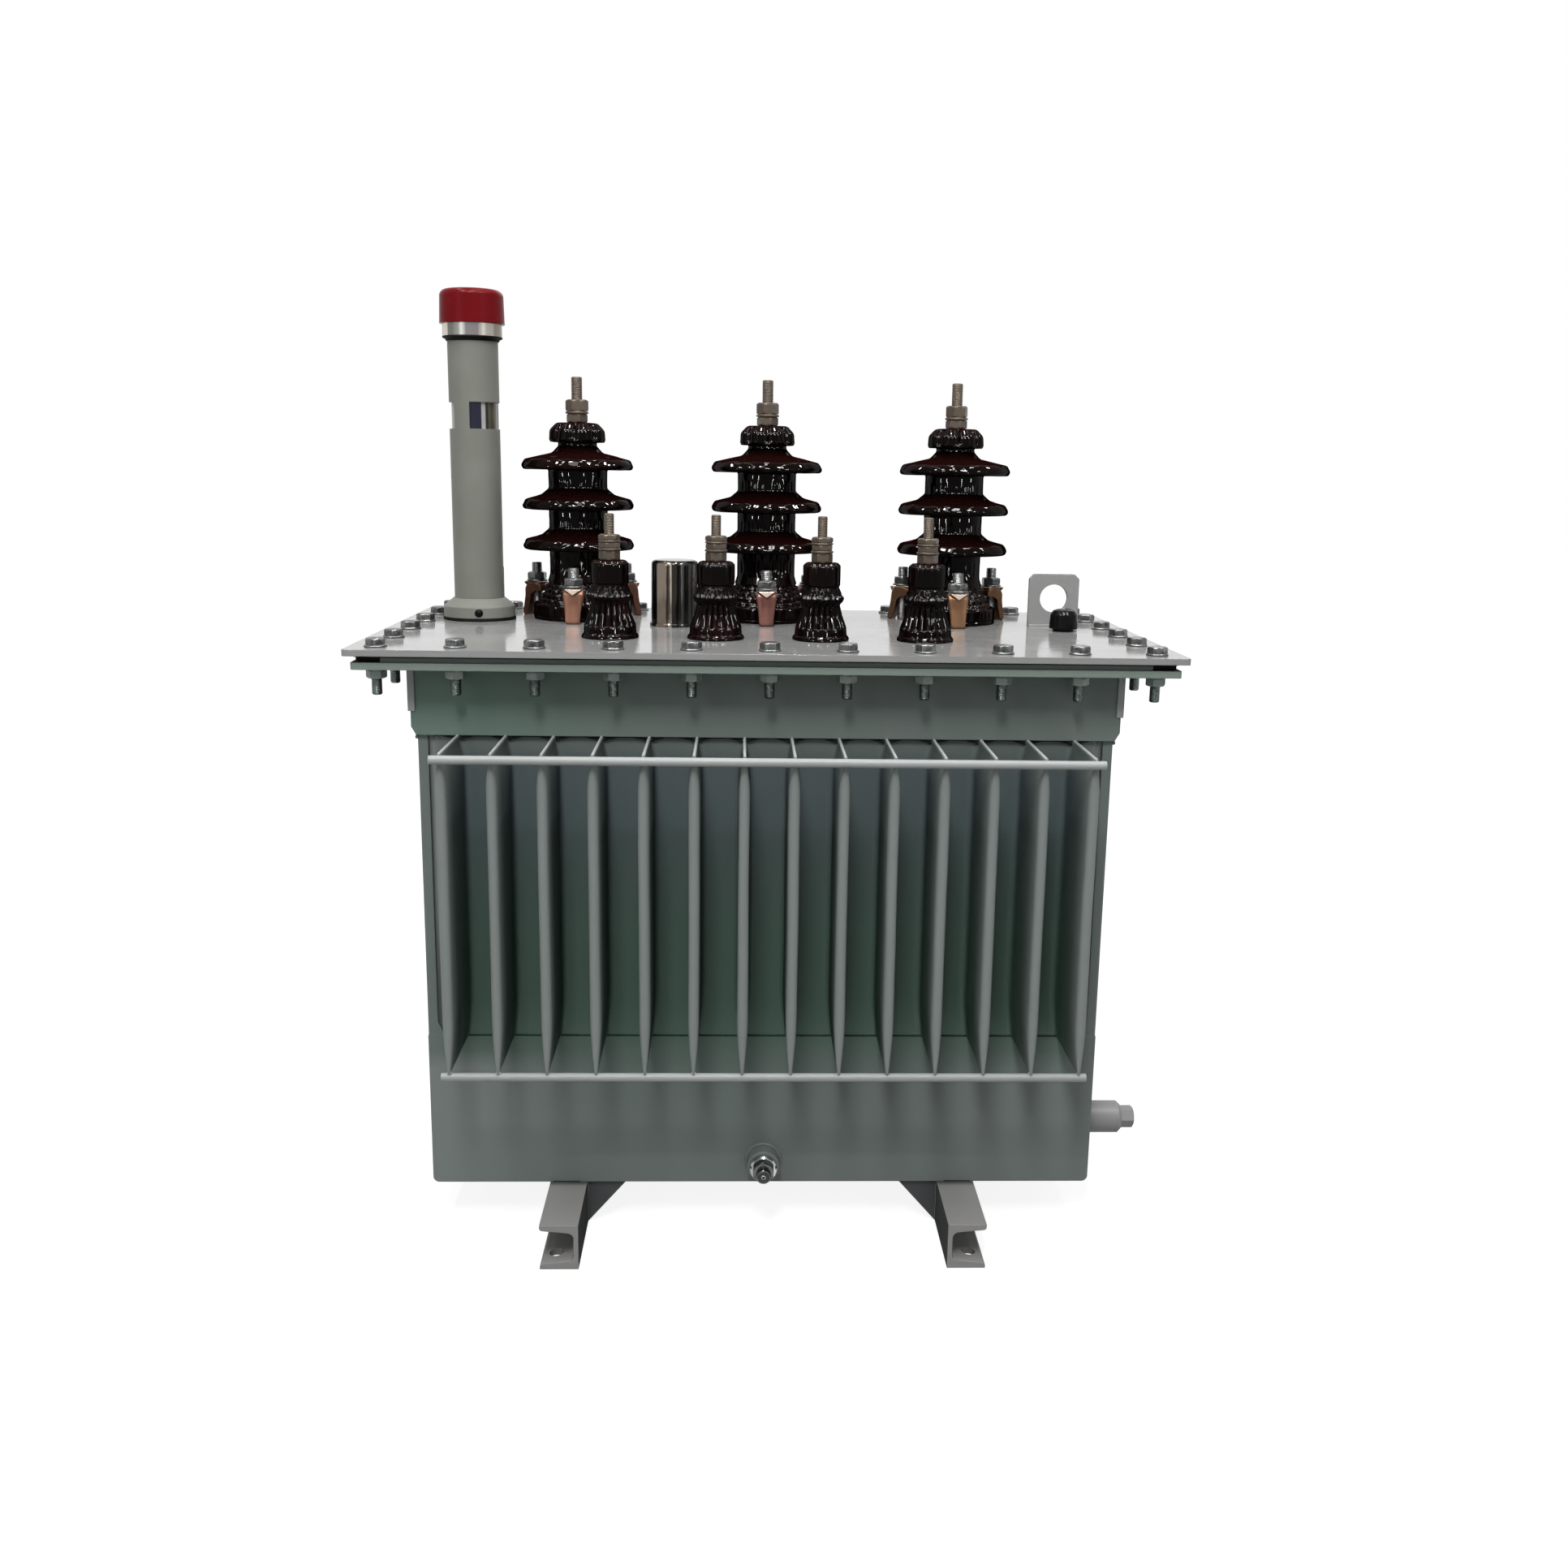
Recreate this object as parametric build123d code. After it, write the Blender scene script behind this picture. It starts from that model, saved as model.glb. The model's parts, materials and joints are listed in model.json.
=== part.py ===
from build123d import *
import os
from math import cos, radians, sin

# Oil-immersed three-phase distribution transformer on channel feet.
# Millimetres, +Z up. The origin is on the ground in the middle of the foot holes,
# +X runs to the right along the front and +Y runs to the back.

# Tank shell, outside sizes
tank_width = 662.0
tank_depth = 312.0
plate = 4.0
pan_bend_radius = 6.0
lower_height = 156.5
fin_wall_height = 301.0
collar_height = 67.0
collar_thickness = 4.5
collar_bevel_height = 8.0
wall_lip = 10.0
wall_bend_radius = 3.0
corner_ear_width = 6.0
corner_ear_height = 14.0

# Corrugated walls
sheet = 1.2
panel_recess = 1.0
fin_count = 14
fin_pitch = 45.0
fin_depth = 98.0
fin_thickness = 10.0
fin_pinch_thickness = 3.0
fin_low_taper = 55.0
fin_high_taper = 30.0
rod_diameter = 8.0
rod_length = 600.0
rod_drop = 4.3
fit_gap = 0.3

# Rim, gasket and cover; from the tank outwards come gasket, bolts, stop bar, rim and cover edge
gasket_width = 21.1
gasket_to_hole = 2.0
cover_bolt_hole = 11.0
bolt_to_rim_edge = 19.4
cover_overhang = 6.0
rim_thickness = 6.5
rim_leg_height = 44.0
rim_leg_overhang = 2.0
stop_bar_height = 4.5
stop_bar_width = 6.0
stop_bar_inset = 3.0
stop_bar_end_gap = 7.6
gasket_thickness = 6.5
cover_thickness = 6.0
plate_corner_radius = 4.0
long_row_bolt_count = 11
short_row_bolt_count = 6

# Channel feet
foot_height = 45.5
foot_flange_width = 37.0
foot_web_thickness = 4.5
foot_flange_mid_thickness = 7.0
foot_flange_slope = 0.1
foot_root_radius = 6.0
foot_toe_radius = 3.0
foot_length = 490.0
foot_gauge = 400.0
foot_hole_gauge_from_web = 23.0
foot_hole_spacing = 450.0
foot_hole = 14.0
gusset_reach = 40.0
gusset_thickness = 5.0
gusset_inset = 4.0

# High-voltage bushings
hv_pitch = 203.0
hv_row_y = 90.0
hv_flange_radius = 49.5
hv_flange_height = 17.6
hv_slope_top_radius = 33.5
hv_slope_top = 41.0
hv_slope_blend = 6.0
hv_flange_edge = 3.0
hv_body_radius = 31.4
hv_shed_radius = 60.0
hv_shed_levels = (81.6, 124.1, 165.8)
hv_shed_top_rise = 15.0
hv_shed_drop = 7.0
hv_shed_tip_width = 5.0
hv_shed_tip_rise = 4.0
hv_shed_root_width = 6.0
hv_shed_root_rise = 8.5
hv_shed_rim_radius = 5.0
hv_shed_saddle_radius = 8.0
hv_shed_under_radius = 2.5
hv_shed_top_radius = 4.0
hv_neck_radius = 20.0
hv_neck_height = 184.0
hv_neck_slope_width = 7.0
hv_neck_slope_rise = 10.0
hv_neck_saddle_radius = 6.0
hv_neck_top_radius = 2.0
hv_cap_radius = 30.6
hv_cap_low = 187.0
hv_cap_high = 207.8
hv_cap_edge_radius = 8.0
hv_stud_diameter = 12.0
hv_stud_top = 255.0
hv_nut_flats = 21.0
hv_nut_top = 231.6
hv_nut_split = 218.0
stud_edge = 1.0
nut_turn = 11.0

# Clamps of the high-voltage bushings
clamp_angles = (-90.0, 30.0, 150.0)
clamp_foot_radius = 70.0
clamp_leg_thickness = 8.0
clamp_height = 38.0
clamp_nose_radius = 44.0
clamp_nose_thickness = 10.0
clamp_nose_lift = 2.0
clamp_nose_lip = 5.0
clamp_top_width = 20.0
clamp_foot_width = 14.0
clamp_lean = 2.0
clamp_heel_radius = 8.0
clamp_nose_round = 4.0
clamp_lip_radius = 2.0
clamp_arch_radius = 5.0

# Low-voltage bushings
lv_pitch = 103.0
lv_row_y = -90.0
lv_flange_radius = 28.0
lv_flange_height = 4.5
lv_drum_radius = 25.2
lv_drum_top = 14.7
lv_waist_radius = 18.2
lv_waist_height = 35.3
lv_bell_width = 1.0
lv_bell_rise = 6.0
lv_bell_radius = 8.0
lv_drum_edge = 2.0
lv_ring_radius = 22.7
lv_ring_level = 40.9
lv_ring_top = 47.9
lv_ring_edge = 3.0
lv_groove_fillet = 2.0
lv_groove_radius = 17.6
lv_groove_top = 53.5
lv_head_radius = 18.3
lv_head_top = 75.2
lv_head_edge = 1.5
lv_stud_diameter = 10.0
lv_stud_top = 119.4
lv_nut_flats = 18.5
lv_nut_top = 99.6
lv_nut_splits = (83.5, 94.0)

# Tap changer cap
tap_x = -96.5
tap_y = 26.0
tap_radius = 24.5
tap_height = 68.5
tap_base_radius = 26.0
tap_base_height = 3.0
tap_edge_radius = 5.0

# Oil gauge
gauge_side_inset = 23.0
gauge_y = 70.0
gauge_base_radius = 37.6
gauge_base_height = 14.5
gauge_base_edge = 1.5
gauge_shoulder_top = 23.0
gauge_shoulder_lip = 1.3
gauge_tube_radius = 26.0
gauge_tube_wall = 2.0
gauge_tube_height = 269.0
gauge_glass_gap = 0.5
gauge_window_low = 199.0
gauge_window_height = 27.0
gauge_window_angle = 120.0
gauge_strip_turn = -22.0
gauge_strip_angle = 40.0
gauge_ring_radius = 30.4
gauge_ring_height = 13.0
gauge_cap_radius = 33.4
gauge_cap_height = 34.0
gauge_cap_edge = 7.0
gauge_cap_draft = 1.0

# Lifting lugs
lug_width = 54.0
lug_height = 56.0
lug_thickness = 6.0
lug_chamfer = 5.0
lug_corner_radius = 2.0
lug_hole = 30.0
lug_hole_height = 30.0
right_lug_side_inset = 19.5
right_lug_y = 62.0
left_lug_side_inset = 13.0
left_lug_y = 130.0

# Thermometer pocket cap
pocket_side_inset = 17.5
pocket_y = 13.0
pocket_neck_radius = 11.0
pocket_neck_height = 3.0
pocket_radius = 15.0
pocket_side_top = 17.0
pocket_top = 23.0
pocket_edge_radius = 5.0
pocket_draft = 0.7
pocket_crown_share = 0.5
pocket_crown_radius = 6.0

# Sampling pipe on the right side
pipe_y = -90.0
pipe_z = 86.0
pipe_radius = 16.5
pipe_length = 47.0
pipe_bevel = 3.5
pipe_plug_flats = 20.0
pipe_plug_length = 14.0
hexagon_chamfer_height = 1.5
hexagon_chamfer_width = 2.5

# Drain boss and plug on the front
drain_z = 69.0
drain_boss_radius = 16.5
drain_boss_length = 17.0
drain_boss_edge = 1.5
drain_washer_radius = 13.5
drain_washer_length = 5.0
drain_nut_flats = 20.0
drain_nut_length = 7.0
drain_head_radius = 7.5
drain_head_length = 9.5
drain_head_edge = 1.2

# Levels that follow from the sizes above
floor_z = foot_height
fins_low_z = floor_z + lower_height
fins_high_z = fins_low_z + fin_wall_height
rim_low_z = fins_high_z + collar_height
rim_high_z = rim_low_z + rim_thickness
cover_low_z = rim_high_z + gasket_thickness
cover_z = cover_low_z + cover_thickness
half_width = tank_width / 2
half_depth = tank_depth / 2
panel_face = half_depth - panel_recess
bolt_from_tank = gasket_width + gasket_to_hole + cover_bolt_hole / 2
bolt_x = half_width + bolt_from_tank
bolt_y = half_depth + bolt_from_tank
rim_x = bolt_x + bolt_to_rim_edge
rim_y = bolt_y + bolt_to_rim_edge
cover_x = rim_x + cover_overhang
cover_y = rim_y + cover_overhang
gauge_x = gauge_side_inset - half_width
left_lug_x = left_lug_side_inset - half_width
right_lug_x = half_width - right_lug_side_inset
pocket_x = half_width - pocket_side_inset
foot_web_face = foot_gauge / 2 - foot_hole_gauge_from_web
rod_radius = rod_diameter / 2


def block(x_low, x_high, y_low, y_high, z_low, z_high):
    """Box between two corners."""
    size = (x_high - x_low, y_high - y_low, z_high - z_low)
    corner = (Align.MIN, Align.MIN, Align.MIN)
    return Pos(x_low, y_low, z_low) * Box(*size, align=corner)


def outline(corners):
    """Closed face through (u, v, radius) corners; a radius of 0 leaves the corner sharp."""
    face = make_face(Polyline(*[(u, v) for u, v, radius in corners], close=True))
    for u, v, radius in corners:
        if radius > 0:
            face = fillet(face.vertices().sort_by_distance((u, v, 0))[0], radius)
    return face


def turned(corners):
    """Solid turned about Z from an outline of (radius, height, rounding) corners."""
    return revolve(Plane.XZ * outline(corners), Axis.Z)


def upright(corners, y_low, y_high):
    """Outline in the XZ plane, made solid from y_low to y_high."""
    return Pos(0, y_high, 0) * extrude(Plane.XZ * outline(corners), y_high - y_low)


def hexagon(across_flats, height):
    """Hexagonal bar that stands on z = 0 with two flats facing front and back."""
    return extrude(RegularPolygon(across_flats / 2, 6, major_radius=False, rotation=30), height)


def mirrored_y(solid):
    """The same piece on the other side of the middle, front to back."""
    return mirror(solid, about=Plane.XZ)


def mirrored_x(solid):
    """The same piece on the other side of the middle, left to right."""
    return mirror(solid, about=Plane.YZ)


# Tank shell


def bottom_pan():
    """Floor and lower sides, bent from one plate."""
    inside = half_width - plate
    bend = pan_bend_radius
    corners = [
        (-half_width, floor_z, bend),
        (half_width, floor_z, bend),
        (half_width, fins_low_z, 0),
        (inside, fins_low_z, 0),
        (inside, floor_z + plate, bend - plate),
        (-inside, floor_z + plate, bend - plate),
        (-inside, fins_low_z, 0),
        (-half_width, fins_low_z, 0),
    ]
    return upright(corners, plate - half_depth, half_depth - plate)


def front_lower_plate():
    """Plate that closes the pan's front, up to the corrugated wall."""
    corners = [
        (-half_width, floor_z, pan_bend_radius),
        (half_width, floor_z, pan_bend_radius),
        (half_width, fins_low_z, 0),
        (-half_width, fins_low_z, 0),
    ]
    return upright(corners, -half_depth, plate - half_depth)


def corner_ears():
    """Triangles at the foot of the right side wall's lips, where the panel's corners are cut."""
    lip = half_width - wall_lip
    corners = [
        (lip + plate, fins_low_z, 0),
        (lip - corner_ear_width, fins_low_z, 0),
        (lip, fins_low_z + corner_ear_height, 0),
        (lip + plate, fins_low_z + corner_ear_height, 0),
    ]
    ear = upright(corners, -half_depth, plate - half_depth)
    return ear + mirrored_y(ear)


def right_side_wall():
    """Plain side wall with its front and back edges bent round as lips."""
    lip = half_width - wall_lip
    inside_x = half_width - plate
    inside_y = half_depth - plate
    corners = [
        (half_width, -half_depth, wall_bend_radius),
        (half_width, half_depth, wall_bend_radius),
        (lip, half_depth, 0),
        (lip, inside_y, 0),
        (inside_x, inside_y, 0),
        (inside_x, -inside_y, 0),
        (lip, -inside_y, 0),
        (lip, -half_depth, 0),
    ]
    wall = Pos(0, 0, fins_low_z) * extrude(outline(corners), rim_low_z - fins_low_z)
    return wall + corner_ears()


def fin_plan(thickness, depth, root):
    """Plan of a folded fin: straight sides from the root and a round nose."""
    half = thickness / 2
    side = depth - half
    left = Line((-half, root), (-half, -side))
    nose = ThreePointArc((-half, -side), (0, -depth), (half, -side))
    right = Line((half, -side), (half, root))
    back = Line((half, root), (-half, root))
    return make_face([left, nose, right, back])


def fin_form(inset, root):
    """A fin pinched at both ends, as a solid whose faces lie inset from the real ones."""
    full = fin_plan(fin_thickness - 2 * inset, fin_depth - inset, root)
    pinch_width = fin_pinch_thickness - 2 * inset
    pinched = fin_plan(pinch_width, fin_depth - inset, root)
    sections = [
        Pos(0, 0, fins_low_z + inset) * pinched,
        Pos(0, 0, fins_low_z + fin_low_taper) * full,
        Pos(0, 0, fins_high_z - fin_high_taper) * full,
        Pos(0, 0, fins_high_z - inset) * pinched,
    ]
    return Pos(0, -panel_face, 0) * loft(sections, ruled=True)


def front_corrugated_wall():
    """Thin sheet folded into hollow cooling fins, open to the tank behind."""
    lip = half_width - wall_lip
    ear_low = lip - corner_ear_width
    corners = [
        (-ear_low, fins_low_z, 0),
        (ear_low, fins_low_z, 0),
        (lip, fins_low_z + corner_ear_height, 0),
        (lip, rim_low_z, 0),
        (-lip, rim_low_z, 0),
        (-lip, fins_low_z + corner_ear_height, 0),
    ]
    wall = upright(corners, -panel_face, sheet - panel_face)
    first = -(fin_count - 1) / 2 * fin_pitch
    places = [Pos(first + number * fin_pitch, 0, 0) for number in range(fin_count)]
    outside = fin_form(0, sheet)
    hollow = fin_form(sheet, 2 * sheet)
    wall += [place * outside for place in places]
    wall -= [place * hollow for place in places]
    return wall


def front_fin_rods():
    """Two rods along the fin tips: one before them at the top, one under them at the bottom."""
    tip = panel_face + fin_depth
    top = Pos(0, -(tip + rod_radius + fit_gap), fins_high_z - rod_drop)
    bottom = Pos(0, -(tip - rod_radius), fins_low_z - rod_radius)
    rod = Rot(0, 90, 0) * Cylinder(rod_radius, rod_length)
    return [top * rod, bottom * rod]


def tank_collar():
    """Band round the top of the walls; its sides stop under the rim's legs, bevelled below."""
    front = block(
        -half_width, half_width, -half_depth - collar_thickness, -half_depth,
        fins_high_z, rim_low_z,
    )
    reach = half_depth + collar_thickness
    leg_low_z = rim_low_z - rim_leg_height
    corners = [
        (half_width, fins_high_z, 0),
        (half_width + collar_thickness, fins_high_z + collar_bevel_height, 0),
        (half_width + collar_thickness, leg_low_z, 0),
        (half_width, leg_low_z, 0),
    ]
    side = upright(corners, -reach, reach)
    return front + mirrored_y(front) + side + mirrored_x(side)


# Rim, gasket and cover


def cover_bolt_places():
    """Centres of the cover bolts round the rim."""
    steps_x = long_row_bolt_count - 1
    steps_y = short_row_bolt_count - 1
    step_x = 2 * bolt_x / steps_x
    step_y = 2 * bolt_y / steps_y
    along_x = [-bolt_x + number * step_x for number in range(long_row_bolt_count)]
    along_y = [-bolt_y + number * step_y for number in range(1, steps_y)]
    rows = [(x, side * bolt_y) for x in along_x for side in (-1, 1)]
    return rows + [(side * bolt_x, y) for y in along_y for side in (-1, 1)]


def cover_bolt_holes(z_low, z_high):
    """Round cutters for the cover bolts between two levels."""
    standing = (Align.CENTER, Align.CENTER, Align.MIN)
    drill = Cylinder(cover_bolt_hole / 2, z_high - z_low, align=standing)
    return [Pos(x, y, z_low) * drill for x, y in cover_bolt_places()]


def plate_blank(half_x, half_y, z_low, thickness):
    """Flat plate with rounded corners."""
    flat = RectangleRounded(2 * half_x, 2 * half_y, plate_corner_radius)
    return Pos(0, 0, z_low) * extrude(flat, thickness)


def tank_rim():
    """Angle-iron rim: a flat ring for the cover with a leg down each side of the tank."""
    ring = plate_blank(rim_x, rim_y, rim_low_z, rim_thickness)
    inside_x = half_width - plate
    inside_y = half_depth - plate
    ring -= block(-inside_x, inside_x, -inside_y, inside_y, rim_low_z, rim_high_z)
    ring -= cover_bolt_holes(rim_low_z, rim_high_z)
    reach = half_depth + collar_thickness + rim_leg_overhang
    leg = block(
        half_width, half_width + rim_thickness, -reach, reach,
        rim_low_z - rim_leg_height, rim_low_z,
    )
    return ring + leg + mirrored_x(leg)


def stop_bars():
    """Bars on the rim, just inside its edge, that keep the gasket from being crushed."""
    outer_x = rim_x - stop_bar_inset
    outer_y = rim_y - stop_bar_inset
    top = rim_high_z + stop_bar_height
    long_end = bolt_x - stop_bar_end_gap
    short_end = bolt_y - stop_bar_end_gap
    front = block(-long_end, long_end, -outer_y, stop_bar_width - outer_y, rim_high_z, top)
    right = block(outer_x - stop_bar_width, outer_x, -short_end, short_end, rim_high_z, top)
    return [front, mirrored_y(front), right, mirrored_x(right)]


def cover_gasket():
    """Rubber frame between the bolts and the tank's mouth."""
    outer_x = half_width + gasket_width
    outer_y = half_depth + gasket_width
    frame = block(-outer_x, outer_x, -outer_y, outer_y, rim_high_z, cover_low_z)
    mouth = block(-half_width, half_width, -half_depth, half_depth, rim_high_z, cover_low_z)
    return frame - mouth


def cover_plate():
    """Flat cover with its bolt holes."""
    cover = plate_blank(cover_x, cover_y, cover_low_z, cover_thickness)
    return cover - cover_bolt_holes(cover_low_z, cover_z)


# Feet


def right_foot():
    """Rolled channel with its flanges outwards, foundation holes and two gussets inside."""
    web = foot_web_face
    web_outside = web + foot_web_thickness
    toe = web + foot_flange_width
    rise = foot_flange_slope * (foot_flange_width - foot_web_thickness) / 2
    root = foot_flange_mid_thickness + rise
    tip = foot_flange_mid_thickness - rise
    corners = [
        (web, 0, 0),
        (toe, 0, 0),
        (toe, tip, foot_toe_radius),
        (web_outside, root, foot_root_radius),
        (web_outside, foot_height - root, foot_root_radius),
        (toe, foot_height - tip, foot_toe_radius),
        (toe, foot_height, 0),
        (web, foot_height, 0),
    ]
    foot = upright(corners, -foot_length / 2, foot_length / 2)
    drill = Cylinder(foot_hole / 2, 2 * root)
    foot -= [Pos(foot_gauge / 2, end * foot_hole_spacing / 2, 0) * drill for end in (-1, 1)]
    triangle = [(web, 0, 0), (web, foot_height, 0), (web - gusset_reach, foot_height, 0)]
    gusset_front = gusset_inset - half_depth
    gusset = upright(triangle, gusset_front, gusset_front + gusset_thickness)
    return foot + gusset + mirrored_y(gusset)


# High-voltage bushings, from the cover's top up


def hv_shed(level):
    """Corners of one drooping shed of the porcelain, from below its rim to above its root."""
    low = level - hv_shed_drop
    return [
        (hv_body_radius, low, hv_shed_under_radius),
        (hv_shed_radius, low, hv_shed_rim_radius),
        (hv_shed_radius - hv_shed_tip_width, level + hv_shed_tip_rise, hv_shed_rim_radius),
        (hv_body_radius + hv_shed_root_width, level + hv_shed_root_rise, hv_shed_saddle_radius),
        (hv_body_radius, level + hv_shed_top_rise, hv_shed_top_radius),
    ]


def hv_bushing():
    """Porcelain: clamped flange, body with three sheds, neck and cap."""
    top = hv_shed_levels[-1]
    corners = [(0, 0, 0), (hv_flange_radius, 0, 0), (hv_flange_radius, hv_flange_height, hv_flange_edge)]
    corners += [(hv_slope_top_radius, hv_slope_top, 0), (hv_body_radius, hv_slope_top + hv_slope_blend, 0)]
    for level in hv_shed_levels[:-1]:
        corners += hv_shed(level)
    corners += hv_shed(top)[:3]
    corners += [
        (hv_neck_radius + hv_neck_slope_width, top + hv_neck_slope_rise, hv_neck_saddle_radius),
        (hv_neck_radius, hv_neck_height, hv_neck_top_radius),
        (hv_neck_radius, hv_cap_low, 0),
        (hv_cap_radius, hv_cap_low, 0),
        (hv_cap_radius, hv_cap_high, hv_cap_edge_radius),
        (0, hv_cap_high, 0),
    ]
    return turned(corners)


def threaded_terminal(stud_radius, stud_low, stud_high, nut_flats, nut_levels):
    """Terminal stud with its stack of hexagon nuts, each nut turned a little from the last."""
    terminal = turned([
        (0, stud_low, 0), (stud_radius, stud_low, 0),
        (stud_radius, stud_high, stud_edge), (0, stud_high, 0),
    ])
    for number, (low, high) in enumerate(zip(nut_levels, nut_levels[1:])):
        nut = hexagon(nut_flats, high - low)
        terminal += Pos(0, 0, low) * Rot(0, 0, nut_turn * number) * nut
    return terminal


def clamp():
    """Cast clamp at the bushing's right: foot on the cover, nose on the porcelain's slope."""
    foot_out = clamp_foot_radius
    foot_in = foot_out - clamp_leg_thickness
    slope_run = hv_flange_radius - hv_slope_top_radius
    slope_rise = hv_slope_top - hv_flange_height
    nose_run = hv_flange_radius - clamp_nose_radius
    nose_low = hv_flange_height + slope_rise / slope_run * nose_run + fit_gap
    corners = [
        (foot_in, 0, 0),
        (foot_out, 0, 0),
        (foot_out - clamp_lean, clamp_height, clamp_heel_radius),
        (clamp_nose_radius + clamp_lean, clamp_height - clamp_lean / 2, clamp_nose_round),
        (clamp_nose_radius, nose_low, 0),
        (clamp_nose_radius + clamp_nose_lip, nose_low + clamp_nose_lift, clamp_lip_radius),
        (foot_in, clamp_height - clamp_nose_thickness, clamp_arch_radius),
    ]
    body = upright(corners, -clamp_top_width / 2, clamp_top_width / 2)
    half_foot = clamp_foot_width / 2
    half_top = clamp_top_width / 2
    front_view = [
        (-half_foot, 0, 0),
        (half_foot, 0, 0),
        (half_top, clamp_height - clamp_nose_thickness, 0),
        (half_top, clamp_height, 0),
        (-half_top, clamp_height, 0),
        (-half_top, clamp_height - clamp_nose_thickness, 0),
    ]
    return body & extrude(Plane.YZ * outline(front_view), clamp_foot_radius)


def hv_clamps():
    """Three clamps round one bushing, one of them at the front."""
    one = clamp()
    return [Rot(0, 0, angle) * one for angle in clamp_angles]


# Low-voltage bushings, from the cover's top up


def lv_bushing():
    """Bell-shaped porcelain with a base flange, a ring and a head."""
    return turned([
        (0, 0, 0),
        (lv_flange_radius, 0, 0),
        (lv_flange_radius, lv_flange_height, 0),
        (lv_drum_radius, lv_flange_height, 0),
        (lv_drum_radius, lv_drum_top, lv_drum_edge),
        (lv_waist_radius + lv_bell_width, lv_waist_height - lv_bell_rise, lv_bell_radius),
        (lv_waist_radius, lv_waist_height, 0),
        (lv_ring_radius, lv_ring_level, lv_ring_edge),
        (lv_groove_radius, lv_ring_top, lv_groove_fillet),
        (lv_groove_radius, lv_groove_top, 0),
        (lv_head_radius, lv_groove_top, 0),
        (lv_head_radius, lv_head_top, lv_head_edge),
        (0, lv_head_top, 0),
    ])


# Fittings on the cover


def tap_changer_cap():
    """Polished cup over the tap changer's handle."""
    return Pos(tap_x, tap_y, cover_z) * turned([
        (0, 0, 0),
        (tap_base_radius, 0, 0),
        (tap_base_radius, tap_base_height, 0),
        (tap_radius, tap_base_height, 0),
        (tap_radius, tap_height, tap_edge_radius),
        (0, tap_height, 0),
    ])


def gauge_base():
    """Round socket of the oil gauge with a sloping shoulder."""
    shoulder = gauge_tube_radius + gauge_shoulder_lip
    return Pos(gauge_x, gauge_y, cover_z) * turned([
        (0, 0, 0),
        (gauge_base_radius, 0, 0),
        (gauge_base_radius, gauge_base_height, gauge_base_edge),
        (shoulder, gauge_shoulder_top, 0),
        (0, gauge_shoulder_top, 0),
    ])


def gauge_window_cutter(turn):
    """Wedge that cuts one window through the gauge's tube, turned from the front."""
    half = gauge_window_angle / 2
    reach = 2 * gauge_tube_radius / cos(radians(half / 2))
    rim = [
        (reach * sin(radians(turn + share * half)), -reach * cos(radians(turn + share * half)))
        for share in (-1, 0, 1)
    ]
    wedge = make_face(Polyline((0, 0), *rim, close=True))
    return Pos(0, 0, gauge_window_low) * extrude(wedge, gauge_window_height)


def gauge_tube():
    """Sight tube with a window on each side of a narrow strip."""
    low = gauge_shoulder_top
    high = low + gauge_tube_height
    bore = gauge_tube_radius - gauge_tube_wall
    tube = turned([
        (bore, low, 0), (gauge_tube_radius, low, 0),
        (gauge_tube_radius, high, 0), (bore, high, 0),
    ])
    swing = (gauge_strip_angle + gauge_window_angle) / 2
    tube -= [gauge_window_cutter(gauge_strip_turn + side * swing) for side in (-1, 1)]
    return Pos(gauge_x, gauge_y, cover_z) * tube


def gauge_glass():
    """Inner sight glass that shows through the windows."""
    low = gauge_shoulder_top
    high = low + gauge_tube_height
    radius = gauge_tube_radius - gauge_tube_wall - gauge_glass_gap
    glass = turned([(0, low, 0), (radius, low, 0), (radius, high, 0), (0, high, 0)])
    return Pos(gauge_x, gauge_y, cover_z) * glass


def gauge_ring():
    """Metal ring under the gauge's cap."""
    low = gauge_shoulder_top + gauge_tube_height
    high = low + gauge_ring_height
    ring = turned([(0, low, 0), (gauge_ring_radius, low, 0), (gauge_ring_radius, high, 0), (0, high, 0)])
    return Pos(gauge_x, gauge_y, cover_z) * ring


def gauge_cap():
    """Round-topped cap of the gauge."""
    low = gauge_shoulder_top + gauge_tube_height + gauge_ring_height
    high = low + gauge_cap_height
    return Pos(gauge_x, gauge_y, cover_z) * turned([
        (0, low, 0),
        (gauge_cap_radius, low, 0),
        (gauge_cap_radius - gauge_cap_draft, high, gauge_cap_edge),
        (0, high, 0),
    ])


def lifting_lug(x, y):
    """Upright plate with chamfered shoulders and a hole for a shackle."""
    half = lug_width / 2
    corners = [
        (-half, 0, 0),
        (half, 0, 0),
        (half, lug_height - lug_chamfer, lug_corner_radius),
        (half - lug_chamfer, lug_height, lug_corner_radius),
        (lug_chamfer - half, lug_height, lug_corner_radius),
        (-half, lug_height - lug_chamfer, lug_corner_radius),
    ]
    lug = upright(corners, -lug_thickness / 2, lug_thickness / 2)
    lug -= Pos(0, 0, lug_hole_height) * Rot(90, 0, 0) * Cylinder(lug_hole / 2, 2 * lug_thickness)
    return Pos(x, y, cover_z) * lug


def thermometer_cap():
    """Domed cap on the thermometer pocket's neck."""
    return Pos(pocket_x, pocket_y, cover_z) * turned([
        (0, 0, 0),
        (pocket_neck_radius, 0, 0),
        (pocket_neck_radius, pocket_neck_height, 0),
        (pocket_radius, pocket_neck_height, 0),
        (pocket_radius - pocket_draft, pocket_side_top, pocket_edge_radius),
        (pocket_radius * pocket_crown_share, pocket_top, pocket_crown_radius),
        (0, pocket_top, 0),
    ])


# Fittings on the tank's lower part


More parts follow.
